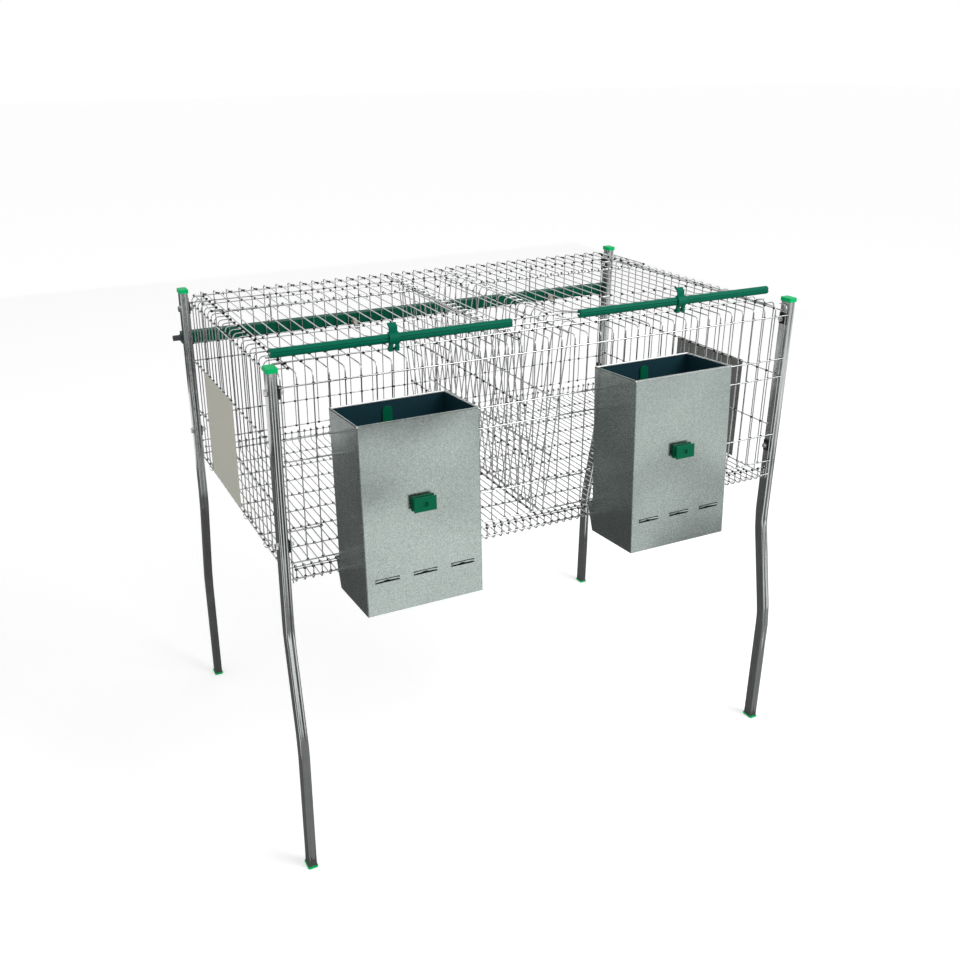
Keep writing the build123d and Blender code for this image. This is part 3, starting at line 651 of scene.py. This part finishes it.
def seat(piece: bpy.types.Object, body: str, slot: Finish, solid: str | None = None) -> None:
    """Sets a piece on its body.

    Args:
        piece: the piece.
        body: the body that carries it.
        slot: finish of its material slot; not used.
        solid: the plain solid that it stands for, if any.
    """
    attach(piece, body)
    if solid:
        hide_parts(solid)
    LOG.info("%s on %s", piece.name, body)


# Sub-assemblies


@dataclass
class MeshWelds:
    """Weld spots where the mesh wires cross, one piece for each panel, painted near-black: partly weld
    scale, partly painted shade where the wires cross.
    """

    frame: dict
    pitch: float = 0.025
    floor_pitch: float = 0.014
    cross_pitch: float = 0.069
    wire: float = 0.002
    crossing: float = 0.00227
    half_x: float = 0.475
    half_y: float = 0.2945
    top_z: float = 0.872
    floor_z: float = 0.534
    front_heights: tuple[float, ...] = (0.854, 0.773, 0.738)
    lower_heights: tuple[float, ...] = (0.624, 0.570)
    wall_margin: float = 0.016
    side_drops: tuple[float, ...] = (0.012, 0.131, 0.232, 0.333)
    floor_lifts: tuple[float, ...] = (0.008, 0.022)
    floor_margin_wires: int = 3
    feeder_cells: tuple[float, ...] = (-12.5, 6.5)
    cut_cells: float = 4.5
    flange: float = 0.0535
    flange_edge: float = 0.0885
    flange_end: float = 0.470
    rear_flange: float = 0.0252
    side_flange: float = 0.0235
    rack_top: float = 0.05
    rack_gap: float = 0.00225
    rack_drops: tuple[float, ...] = (0.012, 0.131, 0.232)
    strip_shift: float = 0.0035
    strip_y: float = 0.267
    strip_cross: float = 0.075
    long_cells: tuple[int, ...] = (-2, 0, 2)
    long_end_y: float = -0.157
    hook_bend: float = 0.0033
    lid_cells: int = 3
    lid_edges: tuple[float, float] = (0.0755, 0.4495)
    lid_lift: float = 0.00302
    lid_cross: float = 0.215
    spot: float = 0.0030
    spot_flatness: float = 0.92

    def bead(self) -> bpy.types.Object:
        """Models one flattened weld spot.

        Returns:
            The spot, at the origin.
        """
        deselect_all()
        bpy.ops.mesh.primitive_ico_sphere_add(subdivisions=1, radius=self.spot)
        seed = named(bpy.context.object, "weld_seed")
        with editing(seed):
            bpy.ops.transform.resize(value=(1.0, self.spot_flatness, self.spot_flatness))
        return seed

    def grid_x(self) -> list[float]:
        """Places of the front and rear wall wires."""
        last = int((self.half_x - self.pitch / 2) / self.pitch)
        return [self.pitch * i for i in range(-last, last + 1)]

    def wall_rows(self) -> list[float]:
        """Places of the side wall wires along Y."""
        return half_grid(self.half_y - self.wall_margin, self.pitch)

    def hinge(self, side: Side) -> Vector:
        """Place of one lid's hinge axis."""
        joint = next(j for j in self.frame["joints"] if j["name"] == f"{side.word}_lid_hinge")
        return Vector(joint["pos_m"])

    def behind_feeder(self, x: float) -> bool:
        """True for a wall wire that a feeding opening cuts away."""
        reach = self.cut_cells * self.pitch - self.wire
        return any(abs(x - cell * self.pitch) < reach for cell in self.feeder_cells)

    def front(self) -> list[Vector]:
        """Finds the crossings of the front wall and its flange.

        Returns:
            The places of the spots.
        """
        y = -self.half_y - self.wire / 2
        all_heights = self.front_heights + self.lower_heights
        places = []
        for x in self.grid_x():
            heights = self.front_heights if self.behind_feeder(x) else all_heights
            places += [Vector((x, y, z)) for z in heights]
            over_rack = abs(abs(x) - self.rack_top - self.side_flange / 2) < self.pitch
            for reach in (self.flange,) if over_rack else (self.flange, self.flange_edge):
                places.append(Vector((x, -self.half_y + reach, self.top_z + self.wire / 2)))
        for x in (-self.half_x, self.half_x):
            places += [Vector((x, y, z)) for z in all_heights]
        return places

    def rear(self) -> list[Vector]:
        """Finds the crossings of the rear wall and its flange.

        Returns:
            The places of the spots.
        """
        columns = self.grid_x() + [-self.half_x, self.half_x]
        y = self.half_y + self.wire / 2
        places = [Vector((x, y, z)) for x in columns for z in self.front_heights + self.lower_heights]
        low = self.hinge(Side.LEFT).z + self.hook_bend - self.wire / 2
        return places + [Vector((x, self.half_y - self.rear_flange, low)) for x in self.grid_x()]

    def strip(self) -> list[Vector]:
        """Finds the crossings of the fixed strip along the rear of the top.

        Returns:
            The places of the spots.
        """
        hinge = self.hinge(Side.LEFT)
        low = hinge.z + self.hook_bend - self.wire / 2
        edge = self.flange_end - self.wire / 2
        places = []
        for x in [-edge] + [x + self.strip_shift for x in self.grid_x()] + [edge]:
            rows = [self.strip_y, self.strip_y - self.strip_cross]
            if not self.lid_edges[0] < abs(x) < self.lid_edges[1]:
                rows.append(hinge.y)
            column = x - self.strip_shift
            if any(abs(column - cell * self.pitch) < self.wire for cell in self.long_cells):
                rows.append(self.long_end_y)
            places += [Vector((x, y, low)) for y in rows]
        return places

    def side(self, side: Side) -> list[Vector]:
        """Finds the crossings of one side wall and its flange.

        Args:
            side: which wall.

        Returns:
            The places of the spots.
        """
        x = side.value * (self.half_x + self.wire / 2)
        edge = side.value * (self.half_x - self.side_flange + self.crossing / 2)
        places = []
        for y in self.wall_rows():
            places += [Vector((x, y, self.top_z - drop)) for drop in self.side_drops]
            places.append(Vector((edge, y, self.top_z - self.wire / 2)))
        return places

    def rack(self, side: Side) -> list[Vector]:
        """Finds the crossings of one leaning wall of the hay rack.

        Args:
            side: which wall.

        Returns:
            The places of the spots.
        """
        run = self.rack_top - self.floor_pitch / 2
        rise = self.top_z - self.floor_z - self.crossing
        lean = math.acos(self.crossing / math.hypot(run, rise)) - math.atan2(rise, run)
        foot = math.sqrt(run ** 2 + rise ** 2 - self.crossing ** 2)
        first = -self.half_y + self.flange + self.rack_gap
        places = []
        for y in self.wall_rows():
            if y < first:
                continue
            for drop in self.rack_drops + (foot,):
                x = self.rack_top - drop * math.sin(lean) - self.wire / 2 * math.cos(lean)
                z = self.top_z - drop * math.cos(lean) + self.wire / 2 * math.sin(lean)
                places.append(Vector((side.value * x, y, z)))
        return places

    def floor(self) -> list[Vector]:
        """Finds the crossings of the floor and of its turned-up edges.

        Returns:
            The places of the spots.
        """
        rows = half_grid(self.half_y - self.cross_pitch / 2, self.cross_pitch)
        places = []
        for x in half_grid(self.half_x - self.floor_margin_wires * self.wire, self.floor_pitch):
            places += [Vector((x, y, self.floor_z - self.wire / 2)) for y in rows]
            for way in (-1, 1):
                outer, inner = (way * (self.half_y + shift) for shift in (self.wire / 2, -self.wire / 2))
                places.append(Vector((x, outer, self.floor_z + self.floor_lifts[0])))
                places.append(Vector((x, inner, self.floor_z + self.floor_lifts[1])))
        return places

    def lid(self, side: Side) -> list[Vector]:
        """Finds the crossings of one lid on its hinge rod and its cross wire.

        Args:
            side: which lid.

        Returns:
            The places of the spots.
        """
        hinge = self.hinge(side)
        low = hinge.z + self.lid_lift - self.wire / 2
        last = round(self.grid_x()[-1] / self.pitch)
        columns = list(self.lid_edges) + [self.pitch * (i + 0.5) for i in range(self.lid_cells, last)]
        rows = (hinge.y, hinge.y - self.lid_cross)
        return [Vector((side.value * x, y, low)) for x in columns for y in rows]

    def build(self, paintbox: Paintbox) -> None:
        """Makes every panel's weld spots and sets them on their bodies.

        Args:
            paintbox: the materials.
        """
        seed = self.bead()
        jobs = {"front_panel": self.front(), "rear_panel": self.rear(), "floor_panel": self.floor()}
        jobs["rear_top_panel"] = self.strip()
        for side in Side:
            jobs[f"{side.word}_wall"] = self.side(side)
            jobs[f"hay_rack_{side.word}"] = self.rack(side)
            jobs[f"{side.word}_lid_mesh"] = self.lid(side)
        for node, places in jobs.items():
            piece = scattered(seed, places, f"{node}_welds")
            # The near-black paint is partly weld scale and partly painted shade at the crossing.
            paintbox.paint(piece, WELD_AND_SHADE)
            seat(piece, node.removesuffix("_mesh") if "lid" in node else "cage", WIRE)
        bpy.data.objects.remove(seed)


@dataclass
class LegTube:
    """Stepped leg of grooved tube, pinched where it is bent."""

    width: float = 0.015
    depth: float = 0.022
    corner: float = 0.003
    groove_width: float = 0.0064
    groove: float = 0.0012
    groove_slope: float = 0.002
    axis_x: float = 0.48604
    axis_y: float = 0.286
    splay: float = 0.039
    kink_top: float = 0.440
    kink_foot: float = 0.243
    foot_z: float = 0.003
    top_z: float = 0.877
    bend_reach: float = 0.026
    bend_samples: int = 9
    bend_steps: int = 8
    ring_reach: float = 1.6
    pinch: float = 0.10
    pinch_reach: float = 0.5
    bulge: float = 0.05
    corner_points: int = 4
    smooth_degrees: float = 38.0

    def outline(self) -> list[tuple[float, float]]:
        """Draws the cross-section of the tube.

        Returns:
            Its points, anticlockwise from above.
        """
        half_w, half_d = self.width / 2 - self.corner, self.depth / 2 - self.corner
        notch = self.groove_width / 2
        shoulder = notch - self.groove_slope
        points = []
        for quarter, (sx, sy) in enumerate(((1, 1), (-1, 1), (-1, -1), (1, -1))):
            for step in range(self.corner_points + 1):
                turn = math.radians(90 * (quarter + step / self.corner_points))
                x = sx * half_w + self.corner * math.cos(turn)
                y = sy * half_d + self.corner * math.sin(turn)
                points.append((x, y))
            if quarter in (0, 2):
                face = sy * self.depth / 2
                deep = face - sy * self.groove
                points += [(sx * notch, face), (sx * shoulder, deep)]
                points += [(-sx * shoulder, deep), (-sx * notch, face)]
        return points

    def ramp(self, z: float) -> float:
        """Share of the splay at a height, with sharp kinks."""
        return min(max((self.kink_top - z) / (self.kink_top - self.kink_foot), 0.0), 1.0)

    def axis_at(self, z: float) -> float:
        """Finds Y of the tube's axis, with the kinks rounded by an average.

        Args:
            z: the height.

        Returns:
            Y at that height.
        """
        last = self.bend_samples - 1
        shifts = [self.bend_reach * (2 * k / last - 1) for k in range(self.bend_samples)]
        samples = [self.ramp(z + shift) for shift in shifts]
        return self.axis_y + self.splay * sum(samples) / len(samples)

    def levels(self) -> list[float]:
        """Finds the heights of the rings.

        Returns:
            The heights from the foot up, close together at the kinks.
        """
        heights = [self.foot_z]
        reach = self.ring_reach * self.bend_reach
        for kink in (self.kink_foot, self.kink_top):
            heights += [kink - reach + 2 * reach * k / self.bend_steps for k in range(self.bend_steps + 1)]
        return heights + [self.top_z]

    def squeeze(self, z: float) -> tuple[float, float]:
        """Finds how the section is flattened and spread near the kinks.

        Args:
            z: the height.

        Returns:
            Scale of the width and of the depth there.
        """
        reach = self.pinch_reach * self.bend_reach
        near = max(math.exp(-((z - kink) / reach) ** 2) for kink in (self.kink_foot, self.kink_top))
        return 1.0 + self.bulge * near, 1.0 - self.pinch * near

    def rear_right(self) -> bpy.types.Object:
        """Models the right rear leg by extruding its section upwards.

        Returns:
            The leg, in place.
        """
        deselect_all()
        outline = self.outline()
        bpy.ops.mesh.primitive_circle_add(vertices=len(outline), radius=self.width, fill_type="NGON")
        tube = named(bpy.context.object, "leg_seed")
        start = self.axis_at(self.foot_z)
        for vertex, (x, y) in zip(tube.data.vertices, outline):
            vertex.co = (self.axis_x + x, start + y, self.foot_z)
        levels = self.levels()
        with editing(tube):
            for low, high in zip(levels, levels[1:]):
                step = (0.0, self.axis_at(high) - self.axis_at(low), high - low)
                bpy.ops.mesh.extrude_region_move(TRANSFORM_OT_translate={"value": step})
                before, after = self.squeeze(low), self.squeeze(high)
                centre = (self.axis_x, self.axis_at(high), high)
                scale = (after[0] / before[0], after[1] / before[1], 1.0)
                bpy.ops.transform.resize(value=scale, center_override=centre)
            bpy.ops.mesh.select_all(action="SELECT")
            bpy.ops.mesh.normals_make_consistent(inside=False)
        return tube

    def build(self, paintbox: Paintbox) -> None:
        """Copies the leg to its corners, in place of the plain tubes.

        Args:
            paintbox: the materials.
        """
        seed = self.rear_right()
        for corner in Corner:
            sx, sy = corner.value
            piece = new_piece(f"{corner.word}_leg_tube", seed.data.copy())
            turn = Matrix.Rotation(math.pi if sy < 0 else 0.0, 4, "Z")
            shift = 0.0 if sx == sy else -2 * self.axis_x * sy
            piece.data.transform(Matrix.Translation((shift, 0.0, 0.0)) @ turn)
            shade_by_angle(piece, self.smooth_degrees)
            paintbox.paint(piece, TUBE)
            seat(piece, "cage", TUBE, f"{corner.word}_leg")
        bpy.data.objects.remove(seed)


@dataclass
class HopperFeeder:
    """Sheet hopper: softened shell with painted shade inside, back plate, rim hem and three pressed strips.
    """

    side: Side
    centre_x: float
    width: float = 0.191
    depth: float = 0.115
    height: float = 0.295
    sheet: float = 0.0008
    back_y: float = -0.2985
    top_z: float = 0.814
    tilt: float = 3.7
    slit: float = 0.039
    slit_pitch: float = 0.062
    slit_rise: float = 0.054
    steps: tuple[int, ...] = (-1, 0, 1)
    window: float = 0.0066
    overcut: float = 0.0001
    cutter_sheets: float = 6.0
    strip: float = 0.0024
    strip_cells: tuple[int, int] = (12, 4)
    sunk: float = 0.0016
    dimple: float = 0.1
    fold: float = 0.0014
    bevel: float = 0.0003
    hem_width: float = 0.0018
    hem_height: float = 0.0030
    hem_round: float = 0.45
    wall_sheets: float = 4.0
    wall_facing: float = 0.7

    @property
    def place(self) -> Matrix:
        """Frame of the feeder: its top back edge, tilted."""
        lean = Matrix.Rotation(math.radians(-self.tilt), 4, "X")
        return Matrix.Translation((self.centre_x, self.back_y, self.top_z)) @ lean

    def darken_inside(self, piece: bpy.types.Object) -> None:
        """Gives the faces that look into the hopper the second material, a dark navy that is painted shade.

        Args:
            piece: the shell or the back plate.
        """
        into = self.place.inverted()
        turn = into.to_3x3()
        middle = Vector((0.0, -self.depth / 2, -self.height / 2))
        half = Vector((self.width / 2, self.depth / 2, self.height / 2))
        for face in piece.data.polygons:
            spot = into @ face.center - middle
            normal = turn @ face.normal
            for axis in range(3):
                wall = abs(spot[axis]) > half[axis] - self.wall_sheets * self.sheet
                if wall and abs(normal[axis]) > self.wall_facing and spot[axis] * normal[axis] < 0:
                    face.material_index = 1

    def round_folds(self, piece: bpy.types.Object) -> None:
        """Rounds the two upright folds at the front and gives them the third material, a near-white painted
        highlight.

        Args:
            piece: the shell.
        """
        into = self.place.inverted()
        places = [into @ vertex.co for vertex in piece.data.vertices]
        with editing(piece):
            bpy.ops.mesh.select_all(action="DESELECT")
        corner = [abs(abs(p.x) - self.width / 2) + abs(p.y + self.depth) < self.bevel for p in places]
        for edge in piece.data.edges:
            edge.select = all(corner[index] for index in edge.vertices)
        with editing(piece, whole=False):
            bpy.ops.mesh.bevel(offset=self.fold, segments=3, affect="EDGES")
            piece.active_material_index = 2
            bpy.ops.object.material_slot_assign()

    def open_windows(self, piece: bpy.types.Object) -> None:
        """Joins each pair of slits into one window, in which the pressed strip then lies.

        Args:
            piece: the shell.
        """
        size = (self.slit + 2 * self.overcut, self.cutter_sheets * self.sheet, self.window, 1.0)
        for step in self.steps:
            middle = (step * self.slit_pitch, -self.depth, self.slit_rise - self.height)
            deselect_all()
            bpy.ops.mesh.primitive_cube_add(size=1.0)
            cutter = bpy.context.object
            cutter.data.transform(self.place @ Matrix.Translation(middle) @ Matrix.Diagonal(size))
            apply_modifier(piece, "BOOLEAN", operation="DIFFERENCE", solver="EXACT", object=cutter)
            bpy.data.objects.remove(cutter)

    def shell(self, paintbox: Paintbox) -> None:
        """Makes the shell and the back plate, with softened edges.

        Args:
            paintbox: the materials.
        """
        for part in ("shell", "back"):
            node = f"{self.side.word}_feeder_{part}"
            piece = joined_copy(node, f"{node}_sheet")
            # Slots: the sheet, painted shade for the inside, and a painted highlight for the folds.
            paintbox.paint(piece, SHEET, HOPPER_INSIDE_SHADE, SHEET_EDGE_HIGHLIGHT)
            self.darken_inside(piece)
            if part == "shell":
                self.round_folds(piece)
                self.open_windows(piece)
            soften(piece, self.bevel)
            seat(piece, f"{self.side.word}_feeder", SHEET, node)

    def hem(self, name: str) -> bpy.types.Object:
        """Models the folded hem round the top edge.

        Args:
            name: name of the piece.

        Returns:
            The hem, a rounded bar along all four walls.
        """
        deselect_all()
        bpy.ops.mesh.primitive_plane_add(size=1.0)
        piece = named(bpy.context.object, name)
        for vertex in piece.data.vertices:
            vertex.co = (vertex.co.x * self.width, (vertex.co.y - 0.5) * self.depth, 0.0)
        down = (0.0, 0.0, -self.hem_height)
        with editing(piece):
            bpy.ops.mesh.inset(thickness=self.hem_width)
            bpy.ops.mesh.delete(type="FACE")
            bpy.ops.mesh.select_all(action="SELECT")
            bpy.ops.mesh.extrude_region_move(TRANSFORM_OT_translate={"value": down})
            bpy.ops.mesh.select_all(action="SELECT")
            bpy.ops.mesh.normals_make_consistent(inside=False)
        bevel = self.hem_round * self.hem_width
        apply_modifier(piece, "BEVEL", width=bevel, segments=3, limit_method="ANGLE")
        piece.data.transform(self.place)
        shade_by_angle(piece, SHEET_DEGREES)
        return piece

    def pressed_strip(self, offset: float, name: str) -> bpy.types.Object:
        """Models one strip pressed into the front between two slits.

        Args:
            offset: place of the strip along the feeder's front.
            name: name of the piece.

        Returns:
            The strip, bowed inwards and as thick as the sheet.
        """
        deselect_all()
        cells_x, cells_y = self.strip_cells
        bpy.ops.mesh.primitive_grid_add(x_subdivisions=cells_x, y_subdivisions=cells_y, size=1.0)
        piece = named(bpy.context.object, name)
        rise = self.slit_rise - self.height
        for vertex in piece.data.vertices:
            along, across = 2 * vertex.co.x, 2 * vertex.co.y
            bow = self.sunk * (1.0 - along ** 4)
            dent = self.sunk * math.exp(-((along / self.dimple) ** 2)) * max(-across, 0.0)
            x = offset + along * self.slit / 2
            vertex.co = (x, -self.depth + bow + dent, rise + across * self.strip / 2)
        apply_modifier(piece, "SOLIDIFY", thickness=self.sheet, offset=-1.0)
        piece.data.transform(self.place)
        with editing(piece):
            bpy.ops.mesh.normals_make_consistent(inside=False)
        shade_by_angle(piece, SHEET_DEGREES)
        return piece

    def build(self, paintbox: Paintbox) -> None:
        """Makes the feeder's sheet pieces, its hem and its strips.

        Args:
            paintbox: the materials.
        """
        self.shell(paintbox)
        body = f"{self.side.word}_feeder"
        # The hem gets the near-white finish, a painted highlight along the rim.
        pieces = [(self.hem(f"{body}_hem"), SHEET_EDGE_HIGHLIGHT)]
        for number, step in enumerate(self.steps, 1):
            pieces.append((self.pressed_strip(step * self.slit_pitch, f"{body}_strip_{number}"), SHEET))
        for piece, finish in pieces:
            paintbox.paint(piece, finish)
            seat(piece, body, SHEET)


@dataclass
class SidePlate:
    """Sheet plate on a side wall: coated outside, with painted shade on the faces that look into the cage.
    """

    side: Side
    bevel: float = 0.0002
    inward: float = 0.5

    def build(self, paintbox: Paintbox) -> None:
        """Makes the plate and gives the faces that look into the cage the second finish, a darker grey that
        is painted shade.

        Args:
            paintbox: the materials.
        """
        node = f"{self.side.word}_side_plate"
        piece = soften(joined_copy(node, f"{node}_sheet"), self.bevel)
        # The second finish is painted shade on the faces that look into the cage.
        paintbox.paint(piece, PLATE, PLATE_BACK_SHADE)
        for face in piece.data.polygons:
            if face.normal.x * self.side.value < -self.inward:
                face.material_index = 1
        seat(piece, "cage", PLATE, node)


@dataclass(frozen=True)
class Moulding:
    """One kind of softened piece: the ends of its node's and body's names, its finish and its bevel."""

    node: str
    body: str
    finish: Finish
    bevel: float


@dataclass
class MouldedPieces:
    """Plastic pieces with softened edges, in place of their plain solids."""

    corner_kinds: tuple[Moulding, ...] = (
        Moulding("leg_cap", "cage", CAP, 0.0008),
        Moulding("leg_foot", "cage", CAP, 0.0005),
    )
    side_kinds: tuple[Moulding, ...] = (
        Moulding("lid_bar", "lid", BAR, 0.0003),
        Moulding("latch", "latch", BAR, 0.0004),
        Moulding("feeder_clip", "feeder", CLIP, 0.0005),
        Moulding("feeder_hanger", "feeder", CLIP, 0.0004),
    )

    def dress(self, paintbox: Paintbox, kind: Moulding, node: str, body: str) -> None:
        """Makes one softened piece and sets it on its body.

        Args:
            paintbox: the materials.
            kind: its finish and bevel.
            node: the plain solid.
            body: the body that carries it.
        """
        piece = soften(joined_copy(node, f"{node}_moulding"), kind.bevel)
        paintbox.paint(piece, kind.finish)
        seat(piece, body, kind.finish, node)

    def build(self, paintbox: Paintbox) -> None:
        """Makes all softened pieces.

        Args:
            paintbox: the materials.
        """
        for corner in Corner:
            for kind in self.corner_kinds:
                self.dress(paintbox, kind, f"{corner.word}_{kind.node}", kind.body)
        for side in Side:
            for kind in self.side_kinds:
                self.dress(paintbox, kind, f"{side.word}_{kind.node}", f"{side.word}_{kind.body}")


# Camera and studio


@dataclass(frozen=True)
class PhotoCamera:
    """Camera at the photograph's viewpoint."""

    eye: Point = (-0.8656, -1.6488, 1.3041)
    azimuth: float = -25.376
    elevation: float = 22.328
    roll: float = -0.345
    focal_px: float = 1011.7
    centre_px: tuple[float, float] = (438.6, 464.4)
    image_px: float = 960.0
    sensor_mm: float = 36.0
    sight: float = 50.0

    def build(self) -> None:
        """Places the camera and makes it the scene's own."""
        turn, lift, roll = (math.radians(a) for a in (self.azimuth, self.elevation, self.roll))
        back = Vector((math.sin(turn) * math.cos(lift), -math.cos(turn) * math.cos(lift), math.sin(lift)))
        level = Vector((math.cos(turn), math.sin(turn), 0.0))
        upright = back.cross(level)
        right = level * math.cos(roll) + upright * math.sin(roll)
        up = upright * math.cos(roll) - level * math.sin(roll)
        deselect_all()
        bpy.ops.object.camera_add()
        camera = bpy.context.object
        axes = Matrix((right, up, back)).transposed().to_4x4()
        camera.matrix_world = Matrix.Translation(self.eye) @ axes
        camera.data.sensor_width = self.sensor_mm
        camera.data.lens = self.focal_px * self.sensor_mm / self.image_px
        camera.data.shift_x = 0.5 - self.centre_px[0] / self.image_px
        camera.data.shift_y = self.centre_px[1] / self.image_px - 0.5
        camera.data.clip_end = self.sight
        bpy.context.scene.camera = camera


def grey(value: float) -> Colour:
    """A neutral grey."""
    return (value, value, value, 1.0)


@dataclass(frozen=True)
class Flag:
    """A dark panel of the set that only reflections see. It lies flat unless it faces another way."""

    name: str
    place: Point
    size: tuple[float, float]
    tint: Colour = (0.05, 0.05, 0.055, 1.0)
    facing: Point = UP


MAT_Z = 0.004
FLAGS = (
    Flag("left_mat", (-0.75, 0.62, MAT_Z), (2.95, 1.94), grey(0.14)),
    Flag("right_mat", (2.0, 0.6, MAT_Z), (1.7, 2.6)),
    Flag("under_mat", (-0.05, -0.75, MAT_Z), (1.6, 0.8), grey(0.32)),
    Flag("near_mat", (-1.9, -1.95, MAT_Z), (2.6, 2.0)),
    Flag("corner_mat", (1.6, -1.1, MAT_Z), (1.6, 1.5), grey(0.22)),
    Flag("back_mat", (0.0, 3.5, MAT_Z), (6.4, 2.2)),
    Flag("middle_mat", (1.35, 2.0, MAT_Z), (3.7, 0.8)),
    Flag("outer_mat", (-2.9, 0.4, MAT_Z), (1.4, 2.8)),
    Flag("far_panel", (0.1, -3.2, 0.7), (2.4, 1.4), grey(0.18), (0.0, 1.0, 0.0)),
)


@dataclass(frozen=True)
class Studio:
    """Pale floor, soft light all round, a key light and dark flags that the metal reflects."""

    floor_size: float = 60.0
    floor_tint: Colour = grey(0.94)
    floor_glow: float = 0.30
    dullness: float = 0.9
    ambient: float = 0.70
    key_watts: float = 55.0
    key_size: float = 1.8
    key_place: Point = (1.6, -2.2, 2.6)
    key_aim: Point = (0.0, 0.0, 0.6)

    @staticmethod
    def seen(bench: ShaderBench) -> Socket:
        """Tells what is seen from light that falls on a surface.

        Args:
            bench: the tree that asks.

        Returns:
            One for what the camera, a reflection or a clear piece sees, otherwise zero.
        """
        path = bench.add("ShaderNodeLightPath")
        seen = bench.sum_of("MAXIMUM", path.outputs["Is Camera Ray"], path.outputs["Is Glossy Ray"])
        return bench.sum_of("MAXIMUM", seen, path.outputs["Is Transmission Ray"])

    def world(self) -> None:
        """Soft light all round, and a white background."""
        world = bpy.data.worlds.new("studio")
        bpy.context.scene.world = world
        world.use_nodes = True
        world.node_tree.nodes.clear()
        bench = ShaderBench(world.node_tree)
        strength = bench.sum_of("MULTIPLY", self.seen(bench), 1.0 - self.ambient)
        light = bench.add("ShaderNodeBackground", Color=WHITE)
        bench.join(bench.sum_of("ADD", strength, self.ambient), light.inputs["Strength"])
        bench.join(light.outputs[0], bench.add("ShaderNodeOutputWorld").inputs["Surface"])

    def dull(self, piece: bpy.types.Object, tint: Colour) -> bpy.types.NodeTree:
        """Gives a stage piece a dull paint of its own.

        Args:
            piece: the floor or a flag.
            tint: its colour.

        Returns:
            The paint's node tree.
        """
        made = bpy.data.materials.new(piece.name)
        made.use_nodes = True
        shader = made.node_tree.nodes["Principled BSDF"]
        shader.inputs["Base Color"].default_value = tint
        shader.inputs["Roughness"].default_value = self.dullness
        piece.data.materials.append(made)
        return made.node_tree

    def floor(self) -> None:
        """Wide floor that looks as white as the background and keeps the shadow."""
        deselect_all()
        bpy.ops.mesh.primitive_plane_add(size=self.floor_size)
        floor = named(bpy.context.object, "studio_floor")
        tree = self.dull(floor, self.floor_tint)
        bench = ShaderBench(tree)
        shader = tree.nodes["Principled BSDF"]
        shader.inputs["Emission Color"].default_value = WHITE
        glow = bench.sum_of("MULTIPLY", self.seen(bench), self.floor_glow)
        bench.join(glow, shader.inputs["Emission Strength"])

    def flag(self, flag: Flag) -> None:
        """Stands one flag.

        Args:
            flag: its place, size and tint.
        """
        deselect_all()
        turn = Vector(flag.facing).to_track_quat("Z", "Y").to_euler()
        bpy.ops.mesh.primitive_plane_add(size=1.0, location=flag.place, rotation=turn)
        panel = named(bpy.context.object, flag.name)
        panel.scale = (flag.size[0], flag.size[1], 1.0)
        self.dull(panel, flag.tint)
        panel.visible_camera = False
        panel.visible_diffuse = False
        panel.visible_shadow = False

    def lamp(self) -> None:
        """Key light from the front right, high up."""
        deselect_all()
        bpy.ops.object.light_add(type="AREA", location=self.key_place)
        key = bpy.context.object
        key.data.size = self.key_size
        key.data.energy = self.key_watts
        aim = Vector(self.key_aim) - key.location
        key.rotation_euler = aim.to_track_quat("-Z", "Y").to_euler()

    def build(self) -> None:
        """Sets up the whole studio."""
        self.world()
        self.floor()
        for flag in FLAGS:
            self.flag(flag)
        self.lamp()
        bpy.context.scene.view_settings.view_transform = "Standard"


def main() -> None:
    """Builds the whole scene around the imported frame."""
    logging.basicConfig(level=logging.INFO, format="%(name)s %(message)s")
    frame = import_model()
    PhotoCamera().build()
    Studio().build()
    paintbox = Paintbox()
    paintbox.dress_solids(frame)
    LegTube().build(paintbox)
    for side, middle in FEEDER_MIDDLES.items():
        HopperFeeder(side, middle).build(paintbox)
    for side in Side:
        SidePlate(side).build(paintbox)
    MouldedPieces().build(paintbox)
    MeshWelds(frame).build(paintbox)


if __name__ == "__main__":
    main()
